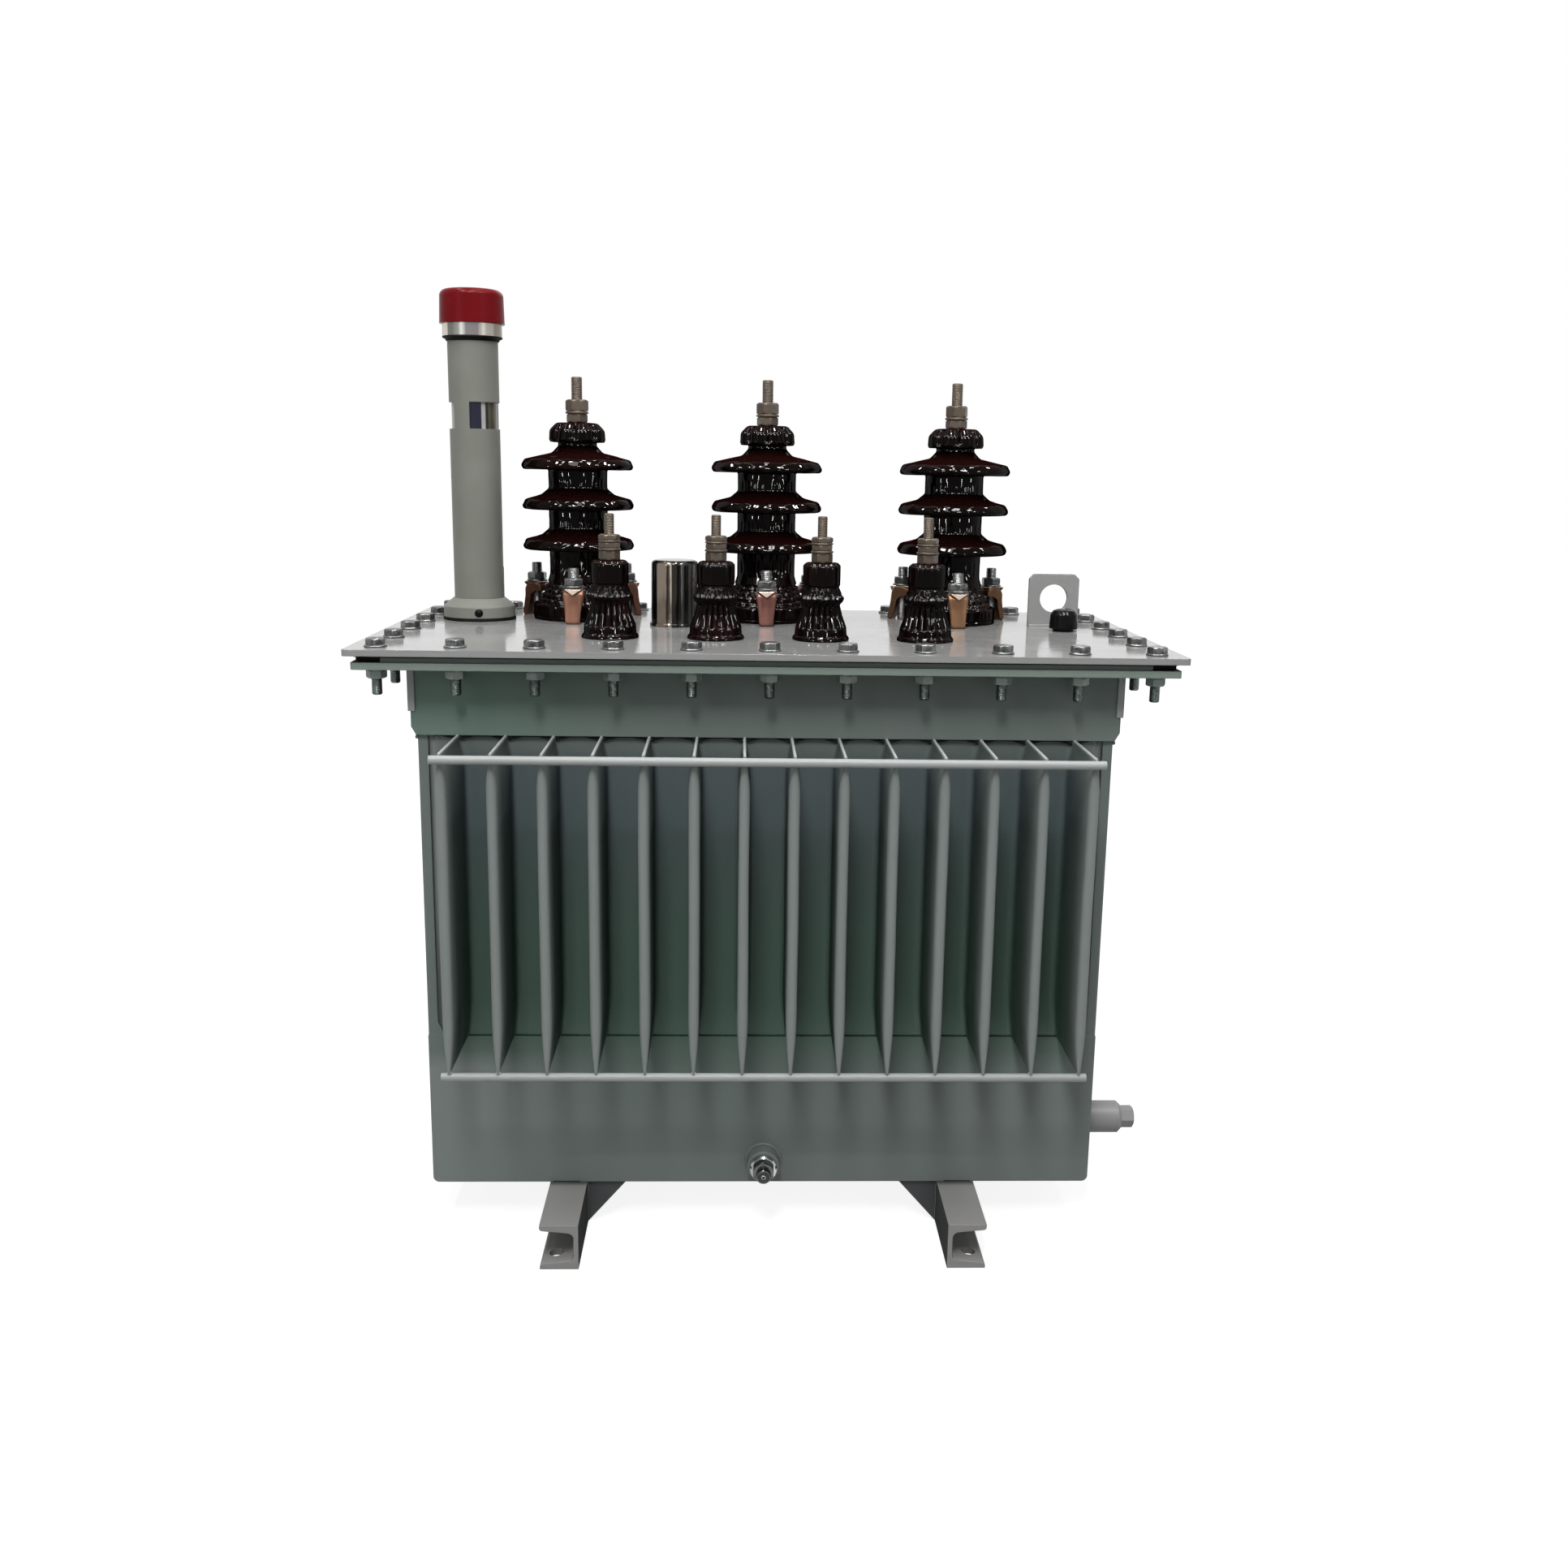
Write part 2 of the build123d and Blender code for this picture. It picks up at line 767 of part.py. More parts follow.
def sampling_pipe():
    """Short pipe through the right side with a hexagon plug in its end."""
    pipe = turned([
        (0, 0, 0),
        (pipe_radius, 0, 0),
        (pipe_radius, pipe_length - pipe_bevel, 0),
        (pipe_radius - pipe_bevel, pipe_length, 0),
        (0, pipe_length, 0),
    ])
    pipe += Pos(0, 0, pipe_length) * chamfered_hexagon(pipe_plug_flats, pipe_plug_length)
    return Pos(half_width, pipe_y, pipe_z) * Rot(0, 90, 0) * pipe


def chamfered_hexagon(across_flats, height):
    """Hexagon head with its outer corners turned off."""
    corner_radius = across_flats / 2 / cos(radians(30))
    limit = turned([
        (0, 0, 0),
        (corner_radius, 0, 0),
        (corner_radius, height - hexagon_chamfer_height, 0),
        (corner_radius - hexagon_chamfer_width, height, 0),
        (0, height, 0),
    ])
    return hexagon(across_flats, height) & limit


def facing_front(solid):
    """Turn a piece that stands on z = 0 so that it points forwards from the tank's front."""
    return Pos(0, -half_depth, drain_z) * Rot(90, 0, 0) * solid


def drain_boss():
    """Threaded boss welded to the tank's front."""
    return facing_front(turned([
        (0, 0, 0),
        (drain_boss_radius, 0, 0),
        (drain_boss_radius, drain_boss_length, drain_boss_edge),
        (0, drain_boss_length, 0),
    ]))


def drain_plug():
    """Plug in the boss: seal washer, hexagon and round head."""
    nut_low = drain_boss_length + drain_washer_length
    head_low = nut_low + drain_nut_length
    washer_corners = [
        (0, drain_boss_length, 0),
        (drain_washer_radius, drain_boss_length, 0),
        (drain_washer_radius, nut_low, 0),
        (0, nut_low, 0),
    ]
    head_corners = [
        (0, head_low, 0),
        (drain_head_radius, head_low, 0),
        (drain_head_radius, head_low + drain_head_length, drain_head_edge),
        (0, head_low + drain_head_length, 0),
    ]
    nut = Rot(0, 0, 30) * hexagon(drain_nut_flats, drain_nut_length)
    return facing_front(turned(washer_corners) + Pos(0, 0, nut_low) * nut + turned(head_corners))


# All the pieces, by node name


def tank_pieces():
    """Everything from the ground to the cover."""
    lower_plate = front_lower_plate()
    side_wall = right_side_wall()
    corrugated = front_corrugated_wall()
    rods = front_fin_rods()
    foot = right_foot()
    return {
        "bottom_pan": [bottom_pan()],
        "front_lower_plate": [lower_plate],
        "back_lower_plate": [mirrored_y(lower_plate)],
        "left_side_wall": [mirrored_x(side_wall)],
        "right_side_wall": [side_wall],
        "front_corrugated_wall": [corrugated],
        "back_corrugated_wall": [mirrored_y(corrugated)],
        "front_fin_rods": rods,
        "back_fin_rods": [mirrored_y(rod) for rod in rods],
        "tank_collar": [tank_collar()],
        "tank_rim": [tank_rim()],
        "stop_bars": stop_bars(),
        "cover_gasket": [cover_gasket()],
        "cover_plate": [cover_plate()],
        "left_foot": [mirrored_x(foot)],
        "right_foot": [foot],
        "sampling_pipe": [sampling_pipe()],
        "drain_boss": [drain_boss()],
        "drain_plug": [drain_plug()],
    }


def bushing_pieces():
    """High-voltage bushings a to c behind, low-voltage bushings 0 to c in front."""
    pieces = {}
    hv_nuts = (hv_cap_high, hv_nut_split, hv_nut_top)
    hv_terminal = threaded_terminal(
        hv_stud_diameter / 2, hv_cap_high, hv_stud_top, hv_nut_flats, hv_nuts,
    )
    hv_porcelain = hv_bushing()
    clamps = hv_clamps()
    for number, phase in enumerate("abc"):
        place = Pos((number - 1) * hv_pitch, hv_row_y, cover_z)
        pieces[f"hv_bushing_{phase}"] = [place * hv_porcelain]
        pieces[f"hv_terminal_{phase}"] = [place * hv_terminal]
        pieces[f"hv_clamps_{phase}"] = [place * one for one in clamps]
    lv_nuts = (lv_head_top, *lv_nut_splits, lv_nut_top)
    lv_terminal = threaded_terminal(
        lv_stud_diameter / 2, lv_head_top, lv_stud_top, lv_nut_flats, lv_nuts,
    )
    lv_porcelain = lv_bushing()
    for number, phase in enumerate("0abc"):
        place = Pos((number - 1.5) * lv_pitch, lv_row_y, cover_z)
        pieces[f"lv_bushing_{phase}"] = [place * lv_porcelain]
        pieces[f"lv_terminal_{phase}"] = [place * lv_terminal]
    return pieces


def fitting_pieces():
    """The single fittings on the cover."""
    return {
        "tap_changer_cap": [tap_changer_cap()],
        "gauge_base": [gauge_base()],
        "gauge_tube": [gauge_tube()],
        "gauge_glass": [gauge_glass()],
        "gauge_ring": [gauge_ring()],
        "gauge_cap": [gauge_cap()],
        "left_lifting_lug": [lifting_lug(left_lug_x, left_lug_y)],
        "right_lifting_lug": [lifting_lug(right_lug_x, right_lug_y)],
        "thermometer_cap": [thermometer_cap()],
    }


os.makedirs("parts", exist_ok=True)
for name, solids in {**tank_pieces(), **bushing_pieces(), **fitting_pieces()}.items():
    shape = solids[0] if len(solids) == 1 else Compound(children=solids)
    export_step(shape, f"parts/{name}.step")
    print(name)
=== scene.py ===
"""Dressed model of an oil-immersed distribution transformer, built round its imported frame.

Metres, +Z up. The origin is on the ground in the middle of the foot holes, +X runs to the right
along the front and +Y runs to the back. Classes whose docstring says millimetres multiply their
sizes by MM or mm() when they build.
"""

import json
import logging
import math
from dataclasses import dataclass
from enum import Enum
from functools import cache
from types import SimpleNamespace
from typing import Callable, ClassVar, Sequence

import bmesh
import bpy
from mathutils import Matrix, Vector, noise

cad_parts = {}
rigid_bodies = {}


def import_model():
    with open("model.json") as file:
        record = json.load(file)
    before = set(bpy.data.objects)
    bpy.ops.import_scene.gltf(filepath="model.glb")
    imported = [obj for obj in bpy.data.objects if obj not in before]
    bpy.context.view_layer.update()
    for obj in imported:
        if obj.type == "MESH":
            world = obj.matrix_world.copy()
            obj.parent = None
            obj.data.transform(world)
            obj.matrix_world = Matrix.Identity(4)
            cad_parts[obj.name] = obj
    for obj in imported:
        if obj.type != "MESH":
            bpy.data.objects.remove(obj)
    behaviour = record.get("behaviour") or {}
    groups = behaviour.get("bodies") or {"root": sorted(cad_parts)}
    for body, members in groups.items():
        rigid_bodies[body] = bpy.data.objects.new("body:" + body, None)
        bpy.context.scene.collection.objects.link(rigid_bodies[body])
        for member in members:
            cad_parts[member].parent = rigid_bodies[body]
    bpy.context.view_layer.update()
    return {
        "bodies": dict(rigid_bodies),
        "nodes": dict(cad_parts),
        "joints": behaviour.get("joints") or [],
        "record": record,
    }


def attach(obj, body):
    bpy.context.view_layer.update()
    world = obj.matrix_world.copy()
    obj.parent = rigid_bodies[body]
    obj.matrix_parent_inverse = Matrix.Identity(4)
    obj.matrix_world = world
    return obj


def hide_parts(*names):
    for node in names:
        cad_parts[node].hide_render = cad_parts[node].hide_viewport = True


LOG = logging.getLogger("transformer")
BODY = "root"
MM = 0.001
COVER_TOP = 589.0
RIM_LOW = 570.0
FIN_PITCH = 45.0
FIN_COUNT = 14
FINS_LOW = 202.0
FINS_HIGH = 503.0
WALL_FACE = 155.0
GAUGE_AXIS = (-0.308, 0.070)
CUP_AXIS = (-0.0965, 0.026)
QUARTER = math.pi / 2
STRAIGHT = 3.1
MERGE = 1e-6
RING_STEPS = 24
WHITE = (1.0, 1.0, 1.0)
BOTH = (-1.0, 1.0)
CORNERS = tuple((side, end) for side in BOTH for end in BOTH)
Colour = tuple[float, float, float]
Point = tuple[float, float, float]
Face = tuple[int, ...]
Socket = bpy.types.NodeSocket
Material = bpy.types.Material
Mesh = bpy.types.Mesh


class Slot(Enum):
    """Material slots of the record."""

    TANK = "tank_paint"
    COVER = "cover_paint"
    RUBBER = "seal_rubber"
    PORCELAIN = "dark_porcelain"
    TERMINAL = "terminal_metal"
    CLAMP = "clamp_metal"
    BLACK = "black_plastic"
    PLUG = "plug_steel"


class Side(Enum):
    """Front or back of the tank, as the sign of Y."""

    FRONT = -1.0
    BACK = 1.0


# Node trees


@dataclass(frozen=True)
class Term:
    """A number in a node tree. Reckoning with it adds nodes."""

    tree: "TreeBuilder"
    socket: Socket

    def __add__(self, other: "Size") -> "Term":
        """Sum of two numbers."""
        return self.tree.math("ADD", self, other)

    def __sub__(self, other: "Size") -> "Term":
        """This number less another one."""
        return self.tree.math("SUBTRACT", self, other)

    def __rsub__(self, other: float) -> "Term":
        """A plain number less this one."""
        return self.tree.math("SUBTRACT", other, self)

    def __mul__(self, other: "Size") -> "Term":
        """Product of two numbers."""
        return self.tree.math("MULTIPLY", self, other)

    def __truediv__(self, other: "Size") -> "Term":
        """This number divided by another one."""
        return self.tree.math("DIVIDE", self, other)

    def __abs__(self) -> "Term":
        """The number without its sign."""
        return self.tree.math("ABSOLUTE", self)

    def share_of(self, whole: "Size") -> "Term":
        """This number divided by another one, kept between 0 and 1."""
        return self.tree.math("DIVIDE", self, whole, clamp=True)

    def least(self, other: "Size") -> "Term":
        """Smaller of two numbers."""
        return self.tree.math("MINIMUM", self, other)

    def most(self, other: "Size") -> "Term":
        """Larger of two numbers."""
        return self.tree.math("MAXIMUM", self, other)

    def sin(self) -> "Term":
        """Sine of the number."""
        return self.tree.math("SINE", self)

    def cos(self) -> "Term":
        """Cosine of the number."""
        return self.tree.math("COSINE", self)

    def ramp(self, low: float, high: float, start: float = 0.0, end: float = 1.0) -> "Term":
        """Start where the number is low, end where it is high, and an even change in between."""
        inputs = {"Value": self, "From Min": low, "From Max": high, "To Min": start, "To Max": end}
        return Term(self.tree, self.tree.add("ShaderNodeMapRange", inputs, clamp=True).outputs[0])


Size = Term | float
Rule = Callable[[Term, Term, Term, Term], Term]


class TreeBuilder:
    """Adds and links the nodes of one shader or geometry tree."""

    def __init__(self, tree: bpy.types.NodeTree) -> None:
        """Start on a tree."""
        self.tree = tree

    def put(self, value: object, socket: Socket) -> None:
        """Link or set one input.

        Args:
            value: Term or socket to link, or number, colour, vector or material to set.
            socket: The input.
        """
        value = value.socket if isinstance(value, Term) else value
        if isinstance(value, Socket):
            self.tree.links.new(value, socket)
        elif isinstance(value, tuple) and socket.type == "RGBA":
            socket.default_value = (*value, 1.0)
        else:
            socket.default_value = value

    def add(self, kind: str, inputs: dict | None = None, **settings: object) -> bpy.types.Node:
        """Add one node.

        Args:
            kind: Blender's type name of the node.
            inputs: What each input gets, by its name or number.
            settings: Node properties such as operation.

        Returns:
            The new node.
        """
        node = self.tree.nodes.new(kind)
        for name, value in settings.items():
            setattr(node, name, value)
        for key, value in (inputs or {}).items():
            self.put(value, node.inputs[key])
        return node

    def math(self, operation: str, *values: "Size", clamp: bool = False) -> Term:
        """Reckon with numbers in one Math node."""
        inputs = dict(enumerate(values))
        return Term(self, self.add("ShaderNodeMath", inputs, operation=operation, use_clamp=clamp).outputs[0])

    def blend(self, share: Size, first: Socket | Colour, second: Socket | Colour) -> Socket:
        """Mix two colours by the share of the second one."""
        inputs = {0: share, 6: first, 7: second}
        return self.add("ShaderNodeMix", inputs, data_type="RGBA", blend_type="MIX").outputs[2]

    def noise(self, place: Socket, scale: float, detail: float = 2.0, rough: float = 0.5) -> Term:
        """Noise around 0.5 with so many waves a metre, and with finer layers of some strength."""
        inputs = {"Vector": place, "Scale": scale, "Detail": detail, "Roughness": rough}
        return Term(self, self.add("ShaderNodeTexNoise", inputs).outputs["Fac"])

    def point(self, x: Size, y: Size, z: Size) -> Socket:
        """Combine three numbers into a vector."""
        return self.add("ShaderNodeCombineXYZ", {0: x, 1: y, 2: z}).outputs[0]

    def parts(self, vector: Socket) -> list[Term]:
        """Split a vector into its three numbers."""
        return [Term(self, part) for part in self.add("ShaderNodeSeparateXYZ", {0: vector}).outputs]


class GeometryTree(TreeBuilder):
    """A Geometry Nodes tree with named sizes, worked out once into a plain mesh."""

    def __init__(self, name: str, **sizes: float) -> None:
        """Make the group and its named inputs.

        Args:
            name: The tree's name.
            sizes: Value of each named input.
        """
        super().__init__(bpy.data.node_groups.new(name, "GeometryNodeTree"))
        face = self.tree.interface
        face.new_socket("places", in_out="INPUT", socket_type="NodeSocketGeometry")
        self.sizes: dict[str, float] = {}
        for label, value in sizes.items():
            kind = "NodeSocketInt" if isinstance(value, int) else "NodeSocketFloat"
            self.sizes[face.new_socket(label, in_out="INPUT", socket_type=kind).identifier] = value
        face.new_socket("mesh", in_out="OUTPUT", socket_type="NodeSocketGeometry")
        outputs = self.add("NodeGroupInput").outputs
        self.given = SimpleNamespace(**{label: Term(self, outputs[label]) for label in ("places", *sizes)})
        self.result = self.add("NodeGroupOutput").inputs[0]

    def position(self) -> list[Term]:
        """Position of each point, in its three numbers."""
        return self.parts(self.add("GeometryNodeInputPosition").outputs[0])

    def moved(self, mesh: Socket, kind: str, vector: Socket) -> Socket:
        """Set the Position of a mesh's points, or shift them by an Offset."""
        return self.add("GeometryNodeSetPosition", {"Geometry": mesh, kind: vector}).outputs[0]

    def shifted(self, mesh: Socket, shift: Point = (0.0, 0.0, 0.0), turn: Point = (0.0, 0.0, 0.0)) -> Socket:
        """Turn a whole mesh about the origin and shift it."""
        inputs = {"Geometry": mesh, "Translation": shift, "Rotation": turn}
        return self.add("GeometryNodeTransform", inputs).outputs[0]

    def joined(self, parts: Sequence[Socket]) -> Socket:
        """Join several meshes into one.

        Args:
            parts: The meshes.

        Returns:
            The joined mesh.
        """
        node = self.add("GeometryNodeJoinGeometry")
        for part in parts:
            self.put(part, node.inputs[0])
        return node.outputs[0]

    def scattered(self, shape: Socket, spin: float, size: tuple[float, float] = (1.0, 1.0)) -> Socket:
        """Stand copies of a shape on the given places, turned about Z and sized at random.

        Args:
            shape: The mesh to repeat.
            spin: Largest turn.
            size: Smallest and largest scale.

        Returns:
            The copies.
        """
        draws = []
        for (low, high), seed in (((0.0, spin), self.given.seed), (size, self.given.seed + 1.0)):
            inputs = {2: low, 3: high, "Seed": seed}
            draws.append(self.add("FunctionNodeRandomValue", inputs, data_type="FLOAT").outputs[1])
        turn, scale = draws
        inputs = {
            "Points": self.given.places, "Instance": shape,
            "Rotation": self.point(0.0, 0.0, turn), "Scale": self.point(scale, scale, scale),
        }
        return self.add("GeometryNodeInstanceOnPoints", inputs).outputs[0]

    def bake(
        self, geometry: Socket, finish: "Finish", places: Sequence[Point] = ((0.0, 0.0, 0.0),),
        edges: Sequence[tuple[int, int]] = (),
    ) -> Mesh:
        """End the tree with real geometry in a finish and work it out as one plain mesh.

        Args:
            geometry: What the tree makes.
            finish: Its finish.
            places: Points that the tree reads, in metres.
            edges: Edges between those points.

        Returns:
            The plain mesh.
        """
        real = self.add("GeometryNodeRealizeInstances", {"Geometry": geometry}).outputs[0]
        inputs = {"Geometry": real, "Material": finish.material()}
        self.put(self.add("GeometryNodeSetMaterial", inputs).outputs[0], self.result)
        points = bpy.data.meshes.new(self.tree.name)
        points.from_pydata([tuple(place) for place in places], edges, [])
        carrier = bpy.data.objects.new(self.tree.name, points)
        bpy.context.scene.collection.objects.link(carrier)
        modifier = carrier.modifiers.new("sizes", "NODES")
        modifier.node_group = self.tree
        for identifier, value in self.sizes.items():
            modifier[identifier] = value
        worked = carrier.evaluated_get(bpy.context.evaluated_depsgraph_get())
        mesh = bpy.data.meshes.new_from_object(worked)
        carrier.modifiers.remove(modifier)
        bpy.data.objects.remove(carrier)
        bpy.data.meshes.remove(points)
        return mesh


# Finishes


class Surface:
    """One material with a Principled shader, ready for a finish to set."""

    def __init__(self, name: str) -> None:
        """Make the material.

        Args:
            name: The material's name.
        """
        self.material = bpy.data.materials.new(name)
        self.material.use_nodes = True
        self.tree = TreeBuilder(self.material.node_tree)
        self.place = self.tree.add("ShaderNodeTexCoord").outputs["Object"]

    def set(self, **values: object) -> None:
        """Set or link the shader's inputs.

        Args:
            values: What each input gets, by its name with _ for each space.
        """
        inputs = self.material.node_tree.nodes["Principled BSDF"].inputs
        for name, value in values.items():
            self.tree.put(value, inputs[name.replace("_", " ")])

    def stretched(self, level: float, upright: float) -> Socket:
        """Object coordinates scaled along the ground and upright."""
        inputs = {"Vector": self.place, "Scale": (level, level, upright)}
        return self.tree.add("ShaderNodeMapping", inputs).outputs[0]

    def head_on(self, level: float, start: float = 0.35, end: float = 0.85) -> Term:
        """Gloss level that fades between two slants at which the surface is seen."""
        facing = self.tree.add("ShaderNodeLayerWeight", {"Blend": 0.5}).outputs["Facing"]
        return Term(self.tree, facing).ramp(start, end, level, 0.0)

    def normal(self) -> list[Term]:
        """The normal's three numbers."""
        return self.tree.parts(self.tree.add("ShaderNodeNewGeometry").outputs["Normal"])

    def rounded(self, radius: float) -> Socket:
        """Normal with edges rounded by a radius in metres."""
        return self.tree.add("ShaderNodeBevel", {"Radius": radius}, samples=4).outputs[0]

    def edged(self, base: Socket, radius: float, edge: Colour) -> tuple[Socket, Socket]:
        """Give the edges a colour of their own.

        Args:
            base: Colour of the flats.
            radius: Radius of the edges in metres.
            edge: Colour of the edges.

        Returns:
            The colour, and the normal with rounded edges.
        """
        rounded = self.rounded(radius)
        inputs = {0: rounded, 1: self.tree.add("ShaderNodeNewGeometry").outputs["True Normal"]}
        along = self.tree.add("ShaderNodeVectorMath", inputs, operation="DOT_PRODUCT").outputs["Value"]
        return self.tree.blend(Term(self.tree, along).ramp(0.995, 0.80), base, edge), rounded

    def bands(self, axis: tuple[float, float], bands: Sequence[tuple[float, Colour]], soft: float) -> Socket:
        """Upright colour bands round an axis.

        Args:
            axis: Where the axis stands on the ground plane.
            bands: Start angle from the front, in degrees towards +X, and colour of each band.
            soft: Width of the change between two bands, in degrees.

        Returns:
            The colour's socket.
        """
        x, y, _ = self.tree.parts(self.place)
        angle = self.tree.math("ARCTAN2", x - axis[0], axis[1] - y) * math.degrees(1.0)
        colour = bands[0][1]
        for start, following in bands[1:]:
            colour = self.tree.blend(angle.ramp(start - soft / 2, start + soft / 2), colour, following)
        return colour

    def relief(self, normal: Socket | None, *layers: tuple[Term, float]) -> None:
        """Add layers of relief and link the last one to the shader.

        Args:
            normal: Normal that the relief starts from, where it isn't the plain one.
            layers: Height and depth in metres of each layer.
        """
        for height, depth in layers:
            inputs = {"Height": height, "Distance": depth, "Strength": 1.0}
            if normal:
                inputs["Normal"] = normal
            normal = self.tree.add("ShaderNodeBump", inputs).outputs[0]
        self.set(Normal=normal)


@dataclass(frozen=True)
class Paint:
    """Sprayed enamel over sheet steel, with orange peel and slow waves of the sheet."""

    name: str
    colour: Colour
    tint: Colour
    edge: Colour
    roughness: float = 0.42
    specular: float = 0.22
    slant_fades: bool = True
    peel_depth: float = 0.00003
    wave_depth: float = 0.0006
    edge_radius: float = 0.0012
    # fins: painted highlight on the fin noses and painted shade high and low in the gaps.
    fins: tuple[Colour, Colour, Colour] | None = None
    # shade: painted shade under the tank and on sideways faces.
    shade: Colour | None = None
    # ends: painted light, lighter towards both ends and in a low band near the foot.
    ends: Colour | None = None
    # legs: painted highlight on the rim's side legs, below its top.
    legs: Colour | None = None
    left: Colour | None = None

    def zoned(self, surface: Surface, base: Socket) -> Socket:
        """Painted light and shade on parts of a piece, and a greener tone towards the left. The ramps'
        numbers are places in metres.

        Args:
            surface: The surface whose coordinates are read.
            base: Colour elsewhere.

        Returns:
            The colour's socket.
        """
        tree = surface.tree
        x, y, z = tree.parts(surface.place)
        if self.fins:
            nose, high_gap_shade, low_gap_shade = self.fins
            # Painted highlight on the fin noses and painted shade in the gaps between the fins.
            base = tree.blend(abs(y).ramp(0.222, 0.252), base, nose)
            gap = tree.blend(z.ramp(0.48, 0.30), high_gap_shade, low_gap_shade)
            inside = z.ramp(0.150, 0.206) * z.ramp(0.500, 0.470) * abs(x).ramp(0.325, 0.300)
            base = tree.blend(abs(y).ramp(0.244, 0.175) * inside, base, gap)
        # Painted shade under the tank and on faces that look sideways.
        if self.shade:
            sideways_shade_mask = abs(surface.normal()[0]).ramp(0.5, 0.95, 0.0, 0.75)
            base = tree.blend(abs(y).ramp(0.166, 0.158, 0.0, 0.9).most(sideways_shade_mask), base, self.shade)
        # Painted light: lighter towards the left and right ends, and in a low band near the foot.
        if self.ends:
            aside = x.ramp(-0.16, -0.31).most(x.ramp(0.16, 0.24, 0.0, 0.3)) * z.ramp(0.186, 0.168)
            base = tree.blend(aside.most(z.ramp(0.078, 0.072, 0.0, 0.4)), base, self.ends)
        # Painted highlight on the rim's side legs, where they catch the light.
        if self.legs:
            base = tree.blend(z.ramp(0.5698, 0.5670), base, self.legs)
        if self.left:
            base = tree.blend(x.ramp(-0.10, -0.27), base, self.left)
        return base

    def build(self) -> Material:
        """Build the material.

        Returns:
            The material.
        """
        surface = Surface(self.name)
        tree = surface.tree
        base = tree.blend(tree.noise(surface.place, 3.0, 3.0).ramp(0.35, 0.68), self.colour, self.tint)
        streaks = tree.noise(surface.stretched(14.0, 2.0), 1.0, 3.0)
        base = tree.blend(streaks.ramp(0.45, 0.75, 0.0, 0.35), base, self.tint)
        base, rounded = surface.edged(self.zoned(surface, base), self.edge_radius, self.edge)
        surface.set(
            Base_Color=base,
            Roughness=tree.noise(surface.place, 40.0, 4.0).ramp(0.3, 0.7, -0.05, 0.05) + self.roughness,
            Specular_IOR_Level=surface.head_on(self.specular) if self.slant_fades else self.specular,
        )
        waves = tree.noise(surface.place, 7.0, 1.0)
        peel = tree.noise(surface.place, 900.0, 1.0)
        surface.relief(rounded, (waves, self.wave_depth), (peel, self.peel_depth))
        return surface.material


@dataclass(frozen=True)
class Glaze:
    """Dark brown glaze of wet-process porcelain, reddish where it runs thin."""

    name: str
    colour: Colour
    thin: Colour
    roughness: float = 0.03
    wave_depth: float = 0.00003

    def build(self) -> Material:
        """Build the material.

        Returns:
            The material.
        """
        surface = Surface(self.name)
        tree = surface.tree
        thin = tree.noise(surface.place, 22.0, 3.0).ramp(0.52, 0.85)
        runs = tree.noise(surface.stretched(60.0, 9.0), 1.0, 2.0).ramp(0.5, 0.75, 0.0, 0.35)
        upward = surface.normal()[2].ramp(0.35, 0.95, 0.0, 0.7)
        surface.set(
            Base_Color=tree.blend(thin.most(runs).most(upward), self.colour, self.thin),
            Roughness=tree.noise(surface.place, 300.0).ramp(0.4, 0.7, 0.0, 0.02) + self.roughness,
            Specular_IOR_Level=surface.head_on(0.045, 0.40, 0.72),
        )
        surface.relief(None, (tree.noise(surface.place, 45.0, 1.0), self.wave_depth))
        return surface.material


@dataclass(frozen=True)
class Metal:
    """Bare metal with cast grain or machining marks, dull patches and bright edges."""

    name: str
    colour: Colour
    dull: Colour
    roughness: float
    metallic: float = 1.0
    edge_gain: float = 1.5
    patch_scale: float = 45.0
    edge_radius: float = 0.0006
    grain_depth: float = 0.00006

    def build(self) -> Material:
        """Build the material.

        Returns:
            The material.
        """
        surface = Surface(self.name)
        tree = surface.tree
        patches = tree.noise(surface.place, self.patch_scale, 4.0, 0.6).ramp(0.38, 0.66)
        bright = tuple(min(1.0, self.edge_gain * part) for part in self.colour)
        base = tree.blend(patches, self.colour, self.dull)
        base, rounded = surface.edged(base, self.edge_radius, bright)
        rough = patches.ramp(0.0, 1.0, -0.06, 0.14) + self.roughness
        surface.set(Base_Color=base, Metallic=self.metallic, Roughness=rough)
        surface.relief(rounded, (tree.noise(surface.place, 500.0, 3.0), self.grain_depth))
        return surface.material


@dataclass(frozen=True)
class BandedMetal:
    """Polished turned metal with painted reflections: soft light and dark bands painted round its axis, and a
    dark painted top.
    """

    name: str
    axis: tuple[float, float]
    bands: tuple[tuple[float, Colour], ...]
    roughness: float = 0.10
    top: Colour = (0.016, 0.016, 0.0155)

    def build(self) -> Material:
        """Build the material.

        Returns:
            The material.
        """
        surface = Surface(self.name)
        # Painted reflections: light and dark bands round the axis, and upward faces painted dark.
        base = surface.bands(self.axis, self.bands, soft=4.0)
        base = surface.tree.blend(surface.normal()[2].ramp(0.3, 0.8), base, self.top)
        surface.set(Base_Color=base, Metallic=0.85, Roughness=self.roughness)
        lines = surface.tree.noise(surface.stretched(20.0, 900.0), 1.0, 2.0)
        surface.relief(surface.rounded(0.001), (lines, 0.00001))
        return surface.material


